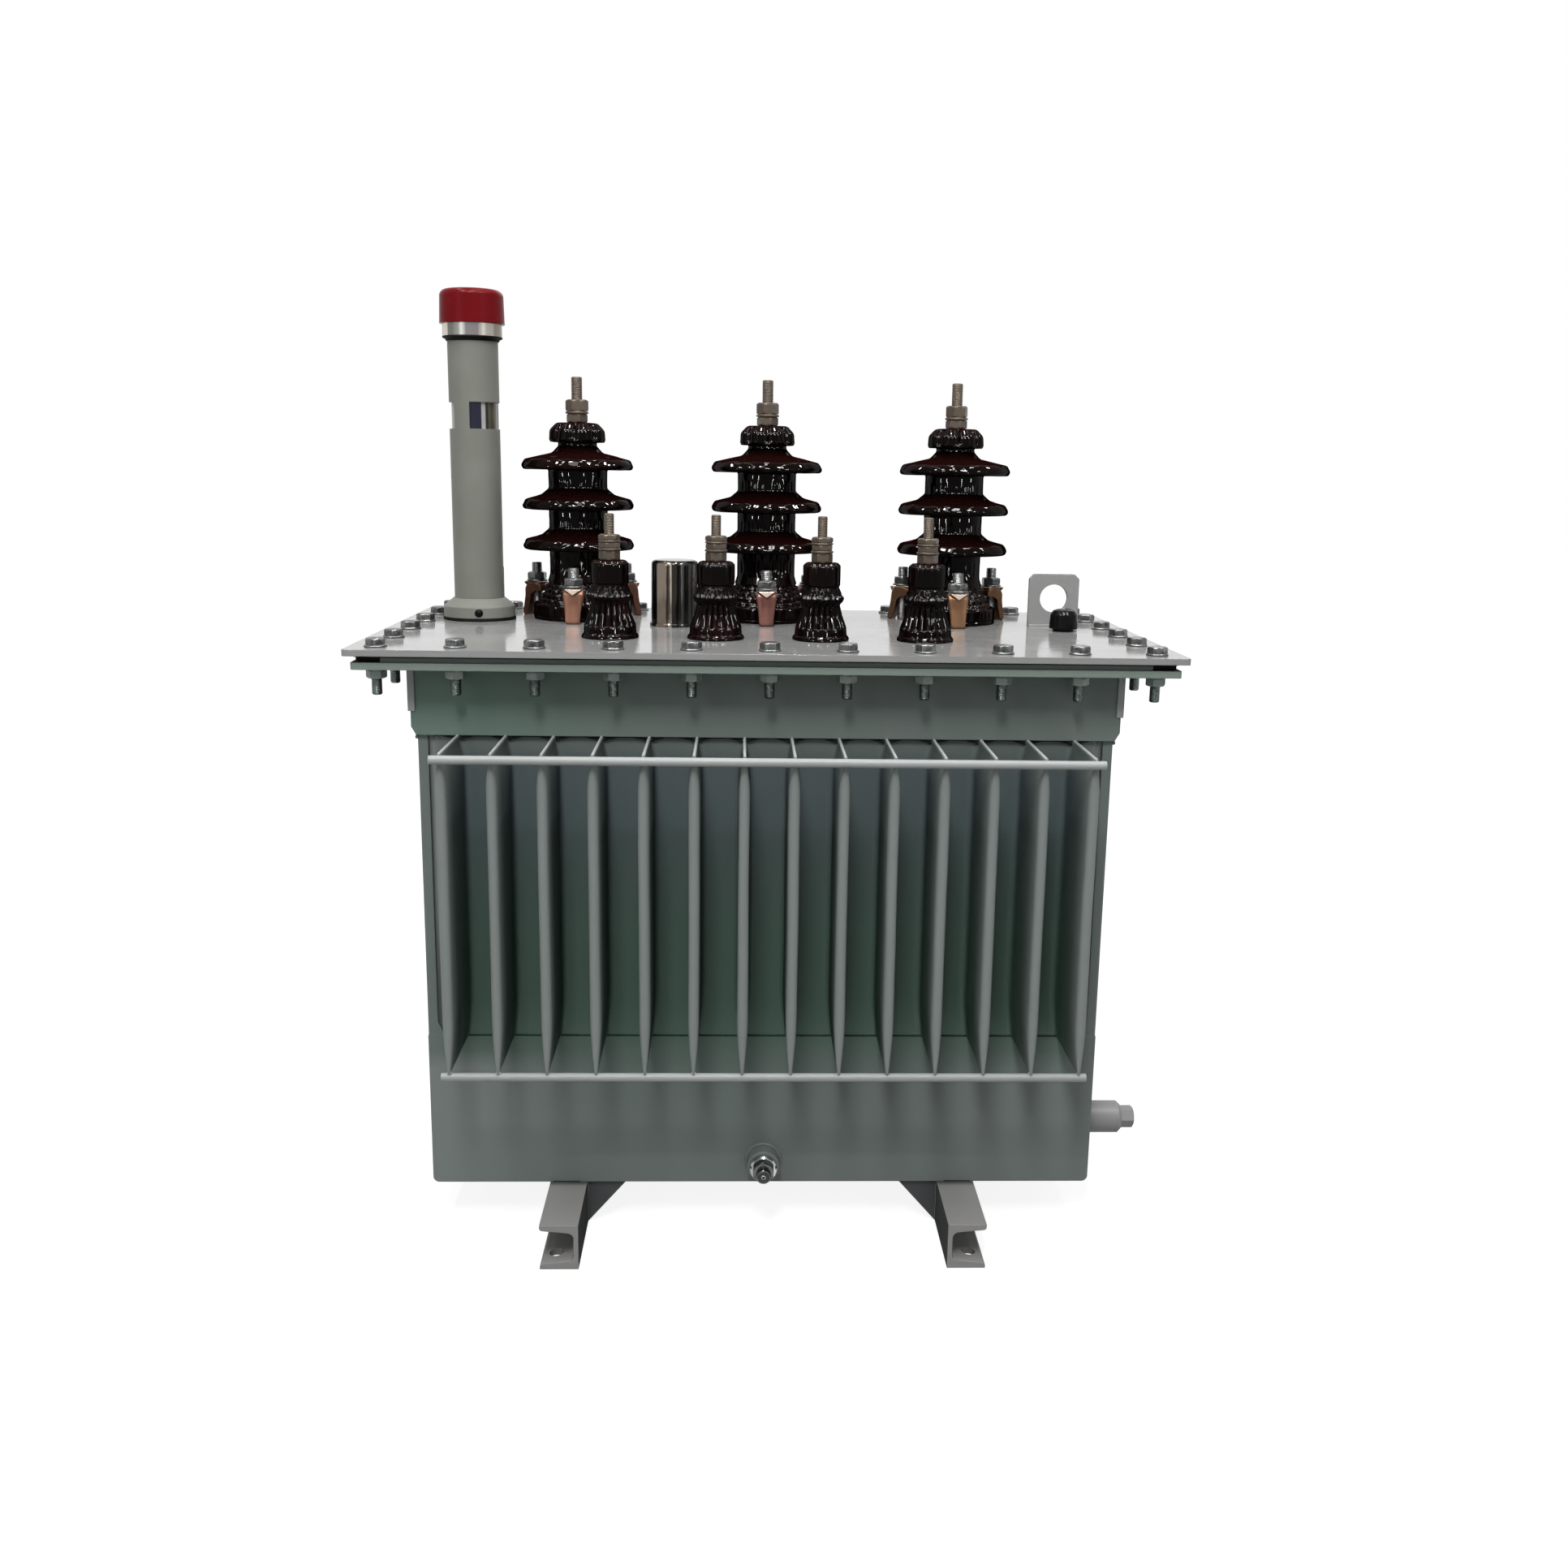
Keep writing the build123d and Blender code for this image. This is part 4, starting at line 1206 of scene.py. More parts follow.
@dataclass(frozen=True)
class Clamp:
    """Hooked castings whose feet stand on the cover and whose noses hold a bushing's slope."""

    foot: float = 70.0
    nose: float = 43.6
    height: float = 37.4
    width: float = 21.0
    foot_width: float = 15.0
    edge: float = 2.2
    angles: tuple[float, ...] = (-90.0, 30.0, 150.0)

    def mesh(self, place: Point, finish: Finish) -> Mesh:
        """Build the clamps round one bushing.

        Args:
            place: Middle of the bushing's foot.
            finish: Their finish.

        Returns:
            The mesh.
        """
        outline = rounded_path([
            (self.foot + 1.5, 0.0, 0), (self.foot + 2.5, 1.5, 1.0), (self.foot - 1.5, 20.0, 10),
            (self.foot - 3.4, self.height - 6, 5), (self.foot - 8, self.height, 4),
            (self.nose + 8, self.height, 5), (self.nose + 0.4, self.height - 3.2, 4),
            (self.nose, 27.4, 2.4), (self.nose + 8.0, 28.0, 3), (self.foot - 10.5, 24.0, 7),
            (self.foot - 6.0, 9.0, 6), (self.foot - 2.5, 0.0, 0), (self.foot + 1.5, 0.0, 0),
        ], 2.5)[:-1]
        count = len(outline)
        middle = Vector((sum(u for u, _ in outline), sum(v for _, v in outline))) / count
        shape = []
        for side, inset in ((-1.0, self.edge), (-1.0, 0.0), (1.0, 0.0), (1.0, self.edge)):
            for u, v in outline:
                spot = Vector((u, v))
                spot += (middle - spot).normalized() * inset * 0.8
                half = 0.5 * (self.foot_width + (self.width - self.foot_width) * fade(v, 4.0, 32.0))
                shape.append((spot.x, side * (half - self.edge + inset), spot.y))
        points: list[Point] = []
        faces: list[Face] = []
        for angle in self.angles:
            rings = [len(points) + ring * count for ring in range(4)]
            points += turned(place, angle, shape)
            for low, high in zip(rings, rings[1:]):
                faces += band(low, high, count)
            faces += [tuple(range(ring, ring + count)) for ring in (rings[0], rings[3])]
        return closed_mesh(points, faces, finish)

    def tabs(self, place: Point) -> Mesh:
        """Lock plates under the nuts, each with a pointed tab bent down over the clamp's back.

        Args:
            place: Middle of the bushing's foot.

        Returns:
            The mesh.
        """
        top, low = self.height + 0.1, self.height - 0.7
        out = self.foot - 2.0
        front = [
            (out - 20, -8.5, top), (out - 20, 8.5, top), (out - 3, 10.5, top), (out + 0.9, 8.4, low - 0.6),
            (out + 1.8, 2.4, low - 4.8), (out + 1.7, 0.0, low - 6.4), (out + 1.8, -2.4, low - 4.8),
            (out + 0.9, -8.4, low - 0.6), (out - 3, -10.5, top),
        ]
        back = [(u - 1.0, across, v) if v < low else (u, across, v - 1.0) for u, across, v in front]
        count = len(front)
        points: list[Point] = []
        faces: list[Face] = []
        for angle in self.angles:
            base = len(points)
            points += turned(place, angle, front + back)
            for shape in ((0, 8, 2, 1), (8, 7, 3, 2), (7, 6, 4, 3), (6, 5, 4)):
                faces.append(tuple(base + corner for corner in shape))
                faces.append(tuple(base + count + corner for corner in shape[::-1]))
            faces += band(base, base + count, count)
        return closed_mesh(points, faces, Finish.TAB)


@dataclass
class LowVoltageBushings(Part):
    """Four short bell-shaped bushings with their terminals, in millimetres."""

    pitch: float = 103.0
    row_y: float = -90.0
    flange: float = 28.0
    drum: float = 25.2
    waist: float = 18.2
    ring: float = 22.7
    head: float = 18.3
    flutes: int = 20

    def porcelain(self) -> TurnedBody:
        """The porcelain bell with its flutes, lobed ring and notched head.

        Returns:
            The body.
        """
        profile = (
            (0.5, 0, 0), (self.flange - 0.8, 0, 1), (self.flange, 1.2, 1), (self.flange - 1.0, 3.6, 1),
            (self.drum + 0.4, 4.6, 1.2), (self.drum, 12.5, 3), (self.waist + 2.6, 24, 9),
            (self.waist, 34.5, 3), (self.ring - 1.4, 37.4, 2), (self.ring, 40.6, 2),
            (self.ring - 2.2, 44.0, 3), (self.head - 0.2, 49.4, 2),
            (self.head - 0.9, 50.6, 0.4), (self.head - 0.9, 52.4, 0.4),
            (self.head, 53.4, 0.5), (self.head + 0.1, 72.4, 2.5), (self.head - 3.0, 75.1, 2.5),
            (10.0, 75.2, 1), (0.5, 75.2, 0),
        )
        reliefs = (
            Relief(self.flutes, 13.5, 32.0, 3.0, soft=3.0, sharpness=0.7, uneven=0.03),
            Relief(self.flutes, 36.5, 43.5, 1.9, soft=2.0, sharpness=0.9, uneven=0.10, turn=0.1),
            Relief(self.flutes - 4, 44.5, 49.0, 1.0, soft=1.5, uneven=0.10, turn=0.3),
            Relief(14, 73.5, 80.0, 1.3, soft=2.0, inner=11.5, uneven=0.05),
        )
        return TurnedBody(profile, reliefs, sides=160, step=1.3, wave=0.25, wave_scale=0.09)

    def terminal(self, place: Point) -> Mesh:
        """Stud with three nuts and two washers.

        Args:
            place: Middle of the bushing's foot.

        Returns:
            The mesh.
        """
        tree = FastenerTree(
            "lv_terminal", flats=18.5 * MM, stud=5.0 * MM, low=75.0 * MM, top=119.4 * MM, seed=21,
        )
        given = tree.given
        return tree.copies(
            Finish.TERMINAL, [place], 0.7,
            tree.hexagon(given.flats * 0.97, given.low, 84.4 * MM),
            tree.disc(10.9 * MM, 84.3 * MM, 86.4 * MM),
            tree.hexagon(given.flats, 86.3 * MM, 92.4 * MM, turn=0.30),
            tree.disc(10.6 * MM, 92.3 * MM, 94.0 * MM),
            tree.hexagon(given.flats, 93.9 * MM, 99.6 * MM, turn=0.12),
            tree.thread(given.stud, given.low, given.top, 30),
        )

    def build(self) -> None:
        """Make the four bushings."""
        for number, phase in enumerate("0abc"):
            place = mm((number - 1.5) * self.pitch, self.row_y, COVER_TOP)
            name = f"lv_bushing_{phase}"
            mesh = self.porcelain().mesh(place, Finish.PORCELAIN, 1.9 * number + 7.3)
            self.bench.piece(f"{name}_porcelain", mesh, Slot.PORCELAIN, name, crease=75.0)
            name = f"lv_terminal_{phase}"
            self.bench.piece(f"{name}_stack", self.terminal(place), Slot.TERMINAL, name)


# Tank


@dataclass
class CorrugatedWall(Part):
    """Sheet folded into hollow cooling fins that are pinched and welded shut at both ends."""

    SHEET: ClassVar[float] = 1.2 * MM
    SEWN: ClassVar[float] = 0.02 * MM
    STEPS: ClassVar[int] = 45
    side: Side
    fin_count: int = FIN_COUNT
    pitch: float = FIN_PITCH * MM
    depth: float = 98.0 * MM
    thickness: float = 10.0 * MM
    pinch: float = 3.0 * MM
    root: float = 4.0 * MM
    high_taper: float = 26.0 * MM
    low_taper: float = 50.0 * MM
    high_land: float = 8.0 * MM
    low_land: float = 2.0 * MM
    bead: float = 1.6 * MM
    low: float = FINS_LOW * MM
    high: float = FINS_HIGH * MM
    top: float = RIM_LOW * MM
    face: float = WALL_FACE * MM
    half_width: float = 321.0 * MM
    wobble: float = 1.6 * MM

    def fin(self, tree: GeometryTree) -> Socket:
        """One pitch of the sheet: panel, fold, flank, nose and back.

        Args:
            tree: The tree to build in.

        Returns:
            The mesh of one fin with half a panel on each side.
        """
        given = tree.given
        inputs = {"Size X": 1.0, "Size Y": 1.0, "Vertices X": self.STEPS, "Vertices Y": self.STEPS}
        grid = tree.add("GeometryNodeMeshGrid", inputs).outputs[0]
        x, y, _ = tree.position()
        along = 1.0 - abs(x) * 2.0
        panel = along.ramp(0.0, 0.18)
        fold = along.ramp(0.18, 0.32, 0.0, QUARTER)
        flank = along.ramp(0.32, 0.77)
        nose = along.ramp(0.77, 1.0, 0.0, QUARTER)
        height = given.high - given.low
        above = ((y * math.pi + QUARTER).cos() * -0.5 + 0.5) * height
        below = height - above
        longer = (1.0 - abs(flank * 2.0 - 1.0)) * 0.55 + 1.0
        low_spread = (above - given.low_land).share_of(given.low_taper * longer)
        high_spread = (below - given.high_land).share_of(given.high_taper * longer)
        spread = (low_spread.least(high_spread) * QUARTER).sin()
        closed = 1.0 - above.least(below).share_of(given.bead)
        closing = tree.math("SQRT", 1.0 - closed * closed)
        half = ((given.thickness - given.pinch) * spread + given.pinch) * 0.5 * closing
        root = given.root * closing
        edge = given.pitch * 0.5
        across = panel * (half + root - edge) + edge - root * fold.sin() - half * (1.0 - nose.cos())
        out = root * (1.0 - fold.cos()) + flank * (given.depth - (half + root))
        out = out + half * nose.sin() + given.face
        place = tree.point(across * tree.math("SIGN", x), out * -1.0, above + given.low)
        return tree.moved(grid, "Position", place)

    def panel(self, tree: GeometryTree, width: Term, low: Term, high: Term, middle: Size) -> Socket:
        """Flat piece of the sheet at the panel's face.

        Args:
            tree: The tree to build in.
            width: Its width.
            low: Its lower level.
            high: Its upper level.
            middle: Where its middle lies along X.

        Returns:
            The mesh.
        """
        inputs = {"Size X": width, "Size Y": high - low, "Vertices X": 2, "Vertices Y": 2}
        grid = tree.add("GeometryNodeMeshGrid", inputs).outputs[0]
        place = tree.point(middle, tree.given.face * -1.0, (low + high) * 0.5)
        return tree.shifted(grid, place, (QUARTER, 0.0, 0.0))

    def swayed(self, tree: GeometryTree, mesh: Socket) -> Socket:
        """Give hand-folded fins their slight unevenness, strongest at the noses' mid height.

        Args:
            tree: The tree to build in.
            mesh: The sheet.

        Returns:
            The uneven sheet.
        """
        given = tree.given
        x, y, z = tree.position()
        depth = (abs(y) - given.face).share_of(given.depth)
        middle = ((z - given.low).share_of(given.high - given.low) * math.pi).sin()
        spot = tree.point(x * 20.0, given.seed * 7.3, z * 3.5)
        sway = (tree.noise(spot, 1.0, 1.0) - 0.5) * given.wobble * depth * middle
        return tree.moved(mesh, "Offset", tree.point(sway * 2.0, 0.0, 0.0))

    def build(self) -> None:
        """Make the wall in place of the frame's."""
        name = f"{self.side.name.lower()}_corrugated_wall"
        sizes = {label: value for label, value in vars(self).items() if isinstance(value, (int, float))}
        tree = GeometryTree(name, seed=1.0 + self.side.value, **sizes)
        given = tree.given
        edge = given.fin_count * given.pitch * 0.5
        strip = given.half_width - edge
        aside = edge + strip * 0.5
        inputs = {
            "Count": given.fin_count, "Start Location": tree.point(given.pitch * 0.5 - edge, 0.0, 0.0),
            "Offset": tree.point(given.pitch, 0.0, 0.0),
        }
        line = tree.add("GeometryNodeMeshLine", inputs).outputs[0]
        inputs = {"Points": line, "Instance": self.fin(tree)}
        fins = tree.add("GeometryNodeInstanceOnPoints", inputs).outputs[0]
        sheet = tree.joined([
            tree.add("GeometryNodeRealizeInstances", {"Geometry": fins}).outputs[0],
            self.panel(tree, given.half_width * 2.0, given.high, given.top, 0.0),
            self.panel(tree, strip, given.low, given.high, aside),
            self.panel(tree, strip, given.low, given.high, aside * -1.0),
        ])
        sheet = tree.add("GeometryNodeMergeByDistance", {"Geometry": sheet, "Distance": self.SEWN}).outputs[0]
        turn = math.pi if self.side is Side.BACK else 0.0
        sheet = tree.shifted(self.swayed(tree, sheet), turn=(0.0, 0.0, turn))
        mesh = tree.bake(sheet, Finish.TANK)
        self.bench.piece(f"{name}_sheet", mesh, Slot.TANK, name, thickness=self.SHEET, crease=50.0)


@dataclass(frozen=True)
class WeldBeads:
    """Runs of weld metal along paths, uneven as hand welding leaves them, and the same beads in dark colours
    that paint shadow lines, in millimetres.
    """

    radius: float
    unevenness: float
    step: float
    sides: int = 6

    def mesh(self, name: str, runs: Sequence[Sequence[Point]], finish: Finish) -> Mesh:
        """Build the beads.

        Args:
            name: Name of their tree.
            runs: Points of each bead's path.
            finish: Their finish.

        Returns:
            The mesh.
        """
        sizes = {"radius": self.radius * MM, "unevenness": self.unevenness * MM, "step": self.step * MM}
        tree = GeometryTree(name, sides=self.sides, **sizes)
        given = tree.given
        path = tree.add("GeometryNodeMeshToCurve", {0: given.places}).outputs[0]
        inputs = {"Curve": path, "Length": given.step}
        path = tree.add("GeometryNodeResampleCurve", inputs, mode="LENGTH").outputs[0]
        inputs = {"Resolution": given.sides, "Radius": given.radius}
        ring = tree.add("GeometryNodeCurvePrimitiveCircle", inputs).outputs[0]
        inputs = {"Curve": path, "Profile Curve": ring, "Fill Caps": True}
        tube = tree.add("GeometryNodeCurveToMesh", inputs).outputs[0]
        place = tree.add("GeometryNodeInputPosition").outputs[0]
        lift = (tree.noise(place, 230.0, 2.0) - 0.5) * given.unevenness
        inputs = {0: tree.add("GeometryNodeInputNormal").outputs[0], "Scale": lift}
        offset = tree.add("ShaderNodeVectorMath", inputs, operation="SCALE").outputs[0]
        places: list[Point] = []
        edges: list[tuple[int, int]] = []
        for run in runs:
            edges += [(number, number + 1) for number in range(len(places), len(places) + len(run) - 1)]
            places += [mm(*spot) for spot in run]
        return tree.bake(tree.moved(tube, "Offset", offset), finish, places, edges)


def ring_run(middle: Point, radius: float, spread: int) -> list[Point]:
    """Upright ring of points.

    Args:
        middle: Its centre.
        radius: Its radius.
        spread: Level axis that it spreads along, 0 for X and 1 for Y.

    Returns:
        The points.
    """
    run = []
    for angle in (math.tau * number / RING_STEPS for number in range(RING_STEPS + 1)):
        spot = list(middle)
        spot[spread] += math.cos(angle) * radius
        spot[2] += math.sin(angle) * radius
        run.append(tuple(spot))
    return run


@dataclass
class TankWelds(Part):
    """Weld seams of the tank, its feet and its fittings; dark beads that paint the shadow lines under the
    collar, along the lower seam and where the feet meet the tank; and black beads that paint the shade in the
    slot and corners under the cover, in millimetres.
    """

    foot_top: float = 45.5
    foot_sides: tuple[float, float] = (184.0, 211.0)
    foot_weld_y: float = 156.0
    rod_lines: tuple[tuple[float, float], ...] = ((252.6, 499.6), (250.4, 202.2))
    fin_nose: float = 252.0
    fitting_ring: float = 17.2
    # Corner of the black bead that paints the shade in the slot under the cover.
    seal_corner: tuple[float, float] = (375.3, 200.3)
    ear_bend: tuple[tuple[float, float], ...] = ((352.6, 197.0), (372.0, 197.0), (372.0, 177.6))
    lug_feet: tuple[tuple[float, float], ...] = ((-318.0, 130.0), (311.5, 62.0))
    lug_half: tuple[float, float] = (26.0, 3.4)

    def fins(self) -> list[float]:
        """Middle of each fin along X."""
        return [(number - (FIN_COUNT - 1) / 2) * FIN_PITCH for number in range(FIN_COUNT)]

    def collar_seam(self, side: float) -> list[Point]:
        """Dark bead under the collar, arched between the fins, that paints the shadow line under the collar's
        edge.

        Args:
            side: Sign of Y.

        Returns:
            The seam's points.
        """
        run = []
        for x in self.fins():
            for share in (-0.5, -0.32, -0.14, -0.05, 0.0, 0.05, 0.14, 0.32):
                dip = math.cos(math.pi * share) ** 6
                run.append((x + share * FIN_PITCH, side * (WALL_FACE + 2.2), FINS_HIGH - 4.2 * dip))
        return run

    def blobs(self) -> Mesh:
        """Short welds that hold the rods to the fins.

        Returns:
            The mesh.
        """
        tree = GeometryTree("rod_welds", size=2.2 * MM, seed=31)
        ball = tree.add("GeometryNodeMeshIcoSphere", {"Radius": 1.0, "Subdivisions": 2}).outputs[0]
        x, y, z = tree.position()
        size = (tree.noise(tree.point(x, y, z), 1.7, 2.0) * 0.9 + 0.55) * tree.given.size
        drop = tree.moved(ball, "Position", tree.point(x * size, y * size, z * size))
        spots = [(fin, side) for side in BOTH for fin in self.fins()]
        places = [mm(fin, side * out, level) for fin, side in spots for out, level in self.rod_lines]
        return tree.bake(tree.scattered(drop, math.tau, (0.75, 1.15)), Finish.WELD, places)

    def beads(self, name: str, kind: WeldBeads, runs: list[list[Point]], finish: Finish, slot: Slot) -> None:
        """Hand over one piece of beads."""
        self.bench.piece(name, kind.mesh(name, runs, finish), slot)

    def build(self) -> None:
        """Make all the seams."""
        # Dark beads that paint the shadow under the collar, along the lower seam and at the feet.
        runs = [self.collar_seam(side) for side in BOTH]
        self.beads("collar_shadow_bead", WeldBeads(1.4, 0.5, 2.0), runs, Finish.SEAM, Slot.TANK)
        runs = [[(x, side * (WALL_FACE + 0.9), FINS_LOW) for x in range(-316, 317, 8)] for side in BOTH]
        y, level = self.foot_weld_y, self.foot_top + 0.4
        runs += [[(side * x, end * y, level) for x in self.foot_sides] for side, end in CORNERS]
        self.beads("lower_shadow_beads", WeldBeads(0.6, 0.5, 2.0), runs, Finish.SEAM, Slot.TANK)
        # Rod and pinch welds in the near-white enamel, a painted highlight.
        self.bench.piece("rod_welds", self.blobs(), Slot.TANK)
        ends = (WALL_FACE + 2.0, self.fin_nose)
        runs = [[(x, side * y, FINS_HIGH - 0.6) for y in ends] for x in self.fins() for side in BOTH]
        self.beads("pinch_welds", WeldBeads(1.45, 0.4, 3.0), runs, Finish.WELD, Slot.TANK)
        pipe, boss = (331.2, -90.0, 86.0), (0.0, -156.2, 69.0)
        runs = [ring_run(pipe, self.fitting_ring, spread=1), ring_run(boss, self.fitting_ring, spread=0)]
        for side, end in CORNERS:
            runs.append([(side * 331.0, end * 150.0, 502.0), (side * 331.4, end * 155.5, 500.0)])
            runs.append([(side * 332.0, end * 158.0, 567.0), (side * 340.0, end * 162.2, 568.6)])
        self.beads("tank_welds", WeldBeads(1.9, 1.2, 1.5, 8), runs, Finish.TANK, Slot.TANK)
        # Black beads in the slot under the cover's edge and in its corners: painted shade where the gap shows
        # dark.
        loop = ((-1, -1), (1, -1), (1, 1), (-1, 1), (-1, -1))
        x, y = self.seal_corner
        runs = [[(side * x, end * y, COVER_TOP - 6.9) for side, end in loop]]
        self.beads("cover_slot_shadow", WeldBeads(1.0, 0.2, 4.0), runs, Finish.RUBBER, Slot.COVER)
        level = COVER_TOP - 9.25
        runs = [[(side * x, end * y, level) for x, y in self.ear_bend] for side, end in CORNERS]
        self.beads("cover_corner_shadows", WeldBeads(3.2, 0.15, 1.0, 16), runs, Finish.RUBBER, Slot.COVER)
        half, aside = self.lug_half
        lines = [(x, y + side * aside) for x, y in self.lug_feet for side in BOTH]
        runs = [[(x + end * half, y, COVER_TOP + 0.5) for end in BOTH] for x, y in lines]
        self.beads("lug_welds", WeldBeads(1.7, 1.0, 1.5, 8), runs, Finish.LUG, Slot.COVER)


# Cover


@dataclass
class CoverBolts(Part):
    """Bolts round the rim: heads and washers on the cover, nuts and thread ends below, in millimetres."""

    count_x: int = 11
    count_y: int = 6
    row_x: float = 359.6
    row_y: float = 184.6
    flats: float = 16.5
    stud: float = 5.0

    def places(self) -> list[Point]:
        """Middles of the bolts on the ground plane.

        Returns:
            The points.
        """
        rows = []
        for half, count in ((self.row_x, self.count_x), (self.row_y, self.count_y)):
            rows.append([-half + 2 * half * step / (count - 1) for step in range(count)])
        spots = [(x, side * self.row_y) for x in rows[0] for side in BOTH]
        spots += [(side * self.row_x, y) for y in rows[1][1:-1] for side in BOTH]
        return [mm(x, y, 0.0) for x, y in spots]

    def build(self) -> None:
        """Make the bolts."""
        flats, stud, cover, rim = (size * MM for size in (self.flats, self.stud, COVER_TOP, RIM_LOW))
        tree = FastenerTree(
            "cover_bolt_heads", flats=flats, washer=10.4 * MM, stud=stud, rim=rim - 1.0 * MM, cover=cover,
            washer_top=cover + 1.6 * MM, head_top=cover + 8.2 * MM, seed=5,
        )
        given = tree.given
        mesh = tree.copies(
            Finish.ZINC, self.places(), math.tau,
            tree.disc(given.washer, given.cover, given.washer_top),
            tree.hexagon(given.flats, given.washer_top, given.head_top, both=False),
            tree.disc(given.stud, given.rim, given.washer_top),
        )
        self.bench.piece("cover_bolt_heads", mesh, Slot.PLUG)
        tree = FastenerTree(
            "cover_bolt_nuts", flats=flats, washer=9.8 * MM, rim=rim, washer_low=rim - 1.6 * MM,
            nut_low=rim - 9.6 * MM, seed=12,
        )
        given = tree.given
        mesh = tree.copies(
            Finish.NUT, self.places(), math.tau,
            tree.disc(given.washer, given.washer_low, given.rim),
            tree.hexagon(given.flats, given.nut_low, given.washer_low),
        )
        self.bench.piece("cover_bolt_nuts", mesh, Slot.TANK)
        tree = FastenerTree("cover_bolt_ends", stud=stud, low=rim - 25.0 * MM, top=rim - 9.0 * MM, seed=12)
        end = tree.thread(tree.given.stud, tree.given.low, tree.given.top, 10)
        self.bench.piece("cover_bolt_ends", tree.copies(Finish.STUD, self.places(), math.tau, end), Slot.PLUG)


@dataclass
class GaugeTrim(Part):
    """Seals and screw of the oil gauge, in millimetres."""

    place: Point = (*GAUGE_AXIS, COVER_TOP * MM)
    base_radius: float = 38.4
    tube_top: float = 292.0
    ring_radius: float = 30.4
    tube_radius: float = 26.0
    screw_level: float = 9.0
    screw_angle: float = math.radians(8.0)

    def build(self) -> None:
        """Make the trim."""
        base, ring, top = self.base_radius, self.ring_radius + 0.4, self.tube_top
        low = top - 4.6
        seals = {
            "gauge_gasket": ((30.0, 0.0, 0), (base, 0.0, 0.6), (base, 3.4, 0.5), (30.0, 3.4, 0)),
            "gauge_seal": (
                (20.0, low, 0), (self.tube_radius + 0.8, low, 0.3), (self.tube_radius + 2.2, low + 2.2, 1),
                (ring, top - 1.2, 0.6), (ring, top + 0.2, 0.4), (20.0, top + 0.2, 0),
            ),
        }
        for name, profile in seals.items():
            mesh = TurnedBody(profile, sides=72).mesh(self.place, Finish.RUBBER)
            self.bench.piece(name, mesh, Slot.RUBBER)
        tree = FastenerTree("gauge_screw", head_radius=3.4 * MM, head_height=2.4 * MM, low=-1.0 * MM)
        given = tree.given
        screw = tree.joined([
            tree.disc(given.head_radius, given.low, given.head_height, 1.2 * MM),
            tree.disc(4.4 * MM, given.low, 0.6 * MM), tree.disc(1.3 * MM, 0.0, 2.6 * MM, 0.3 * MM),
        ])
        reach = base - 1.0
        shift = mm(math.sin(self.screw_angle) * reach, -math.cos(self.screw_angle) * reach, self.screw_level)
        spot = tuple(start + part for start, part in zip(self.place, shift))
        mesh = tree.bake(tree.shifted(screw, spot, (QUARTER, 0.0, self.screw_angle)), Finish.BLACK)
        self.bench.piece("gauge_screw", mesh, Slot.BLACK)


@dataclass
class ThermometerCap(Part):
    """Moulded screw cap of the thermometer pocket, in millimetres."""

    place: Point = mm(313.5, 13.0, COVER_TOP)
    neck: float = 11.0
    rim: float = 15.0
    height: float = 23.4

    def build(self) -> None:
        """Make the cap in place of the frame's."""
        profile = (
            (0.5, 0.0, 0), (self.neck, 0.0, 0.3), (self.neck, 2.6, 0.3), (self.rim, 2.8, 0.8),
            (self.rim - 0.9, 17.5, 3.5), (self.rim - 3.8, self.height - 1.6, 3.0),
            (6.0, self.height, 8.0), (0.5, self.height, 0),
        )
        mesh = TurnedBody(profile, sides=96, step=1.1).mesh(self.place, Finish.BLACK)
        self.bench.piece("thermometer_cap_moulded", mesh, Slot.BLACK, "thermometer_cap", crease=60.0)


@dataclass
class DrainPlug(Part):
    """Plug of the drain boss: seal, hexagon and round head with a socket."""

    place: Point = mm(0.0, -156.0, 69.0)
    turn: Point = (QUARTER, 0.0, 0.0)

    def build(self) -> None:
        """Make the plug in place of the frame's, and its ring."""
        tree = FastenerTree(
            "drain_plug", flats=20.0 * MM, head=7.5 * MM, socket=2.2 * MM, washer_end=22.0 * MM,
            nut_end=29.0 * MM, head_end=38.5 * MM,
        )
        given = tree.given
        plug = tree.joined([
            tree.hexagon(given.flats, given.washer_end, given.nut_end),
            tree.disc(given.head, given.nut_end, given.head_end, 1.2 * MM),
            tree.disc(given.socket, given.nut_end, given.head_end + 0.4 * MM, 0.5 * MM),
        ])
        mesh = tree.bake(tree.shifted(plug, self.place, self.turn), Finish.PLUG)
        self.bench.piece("drain_plug_turned", mesh, Slot.PLUG, "drain_plug")
        tree = FastenerTree("drain_ring", radius=13.5 * MM, low=17.0 * MM, high=22.1 * MM)
        ring = tree.disc(tree.given.radius, tree.given.low, tree.given.high, 1.6 * MM)
        mesh = tree.bake(tree.shifted(ring, self.place, self.turn), Finish.CHROME)
        self.bench.piece("drain_ring_turned", mesh, Slot.PLUG)


# The frame's own nodes


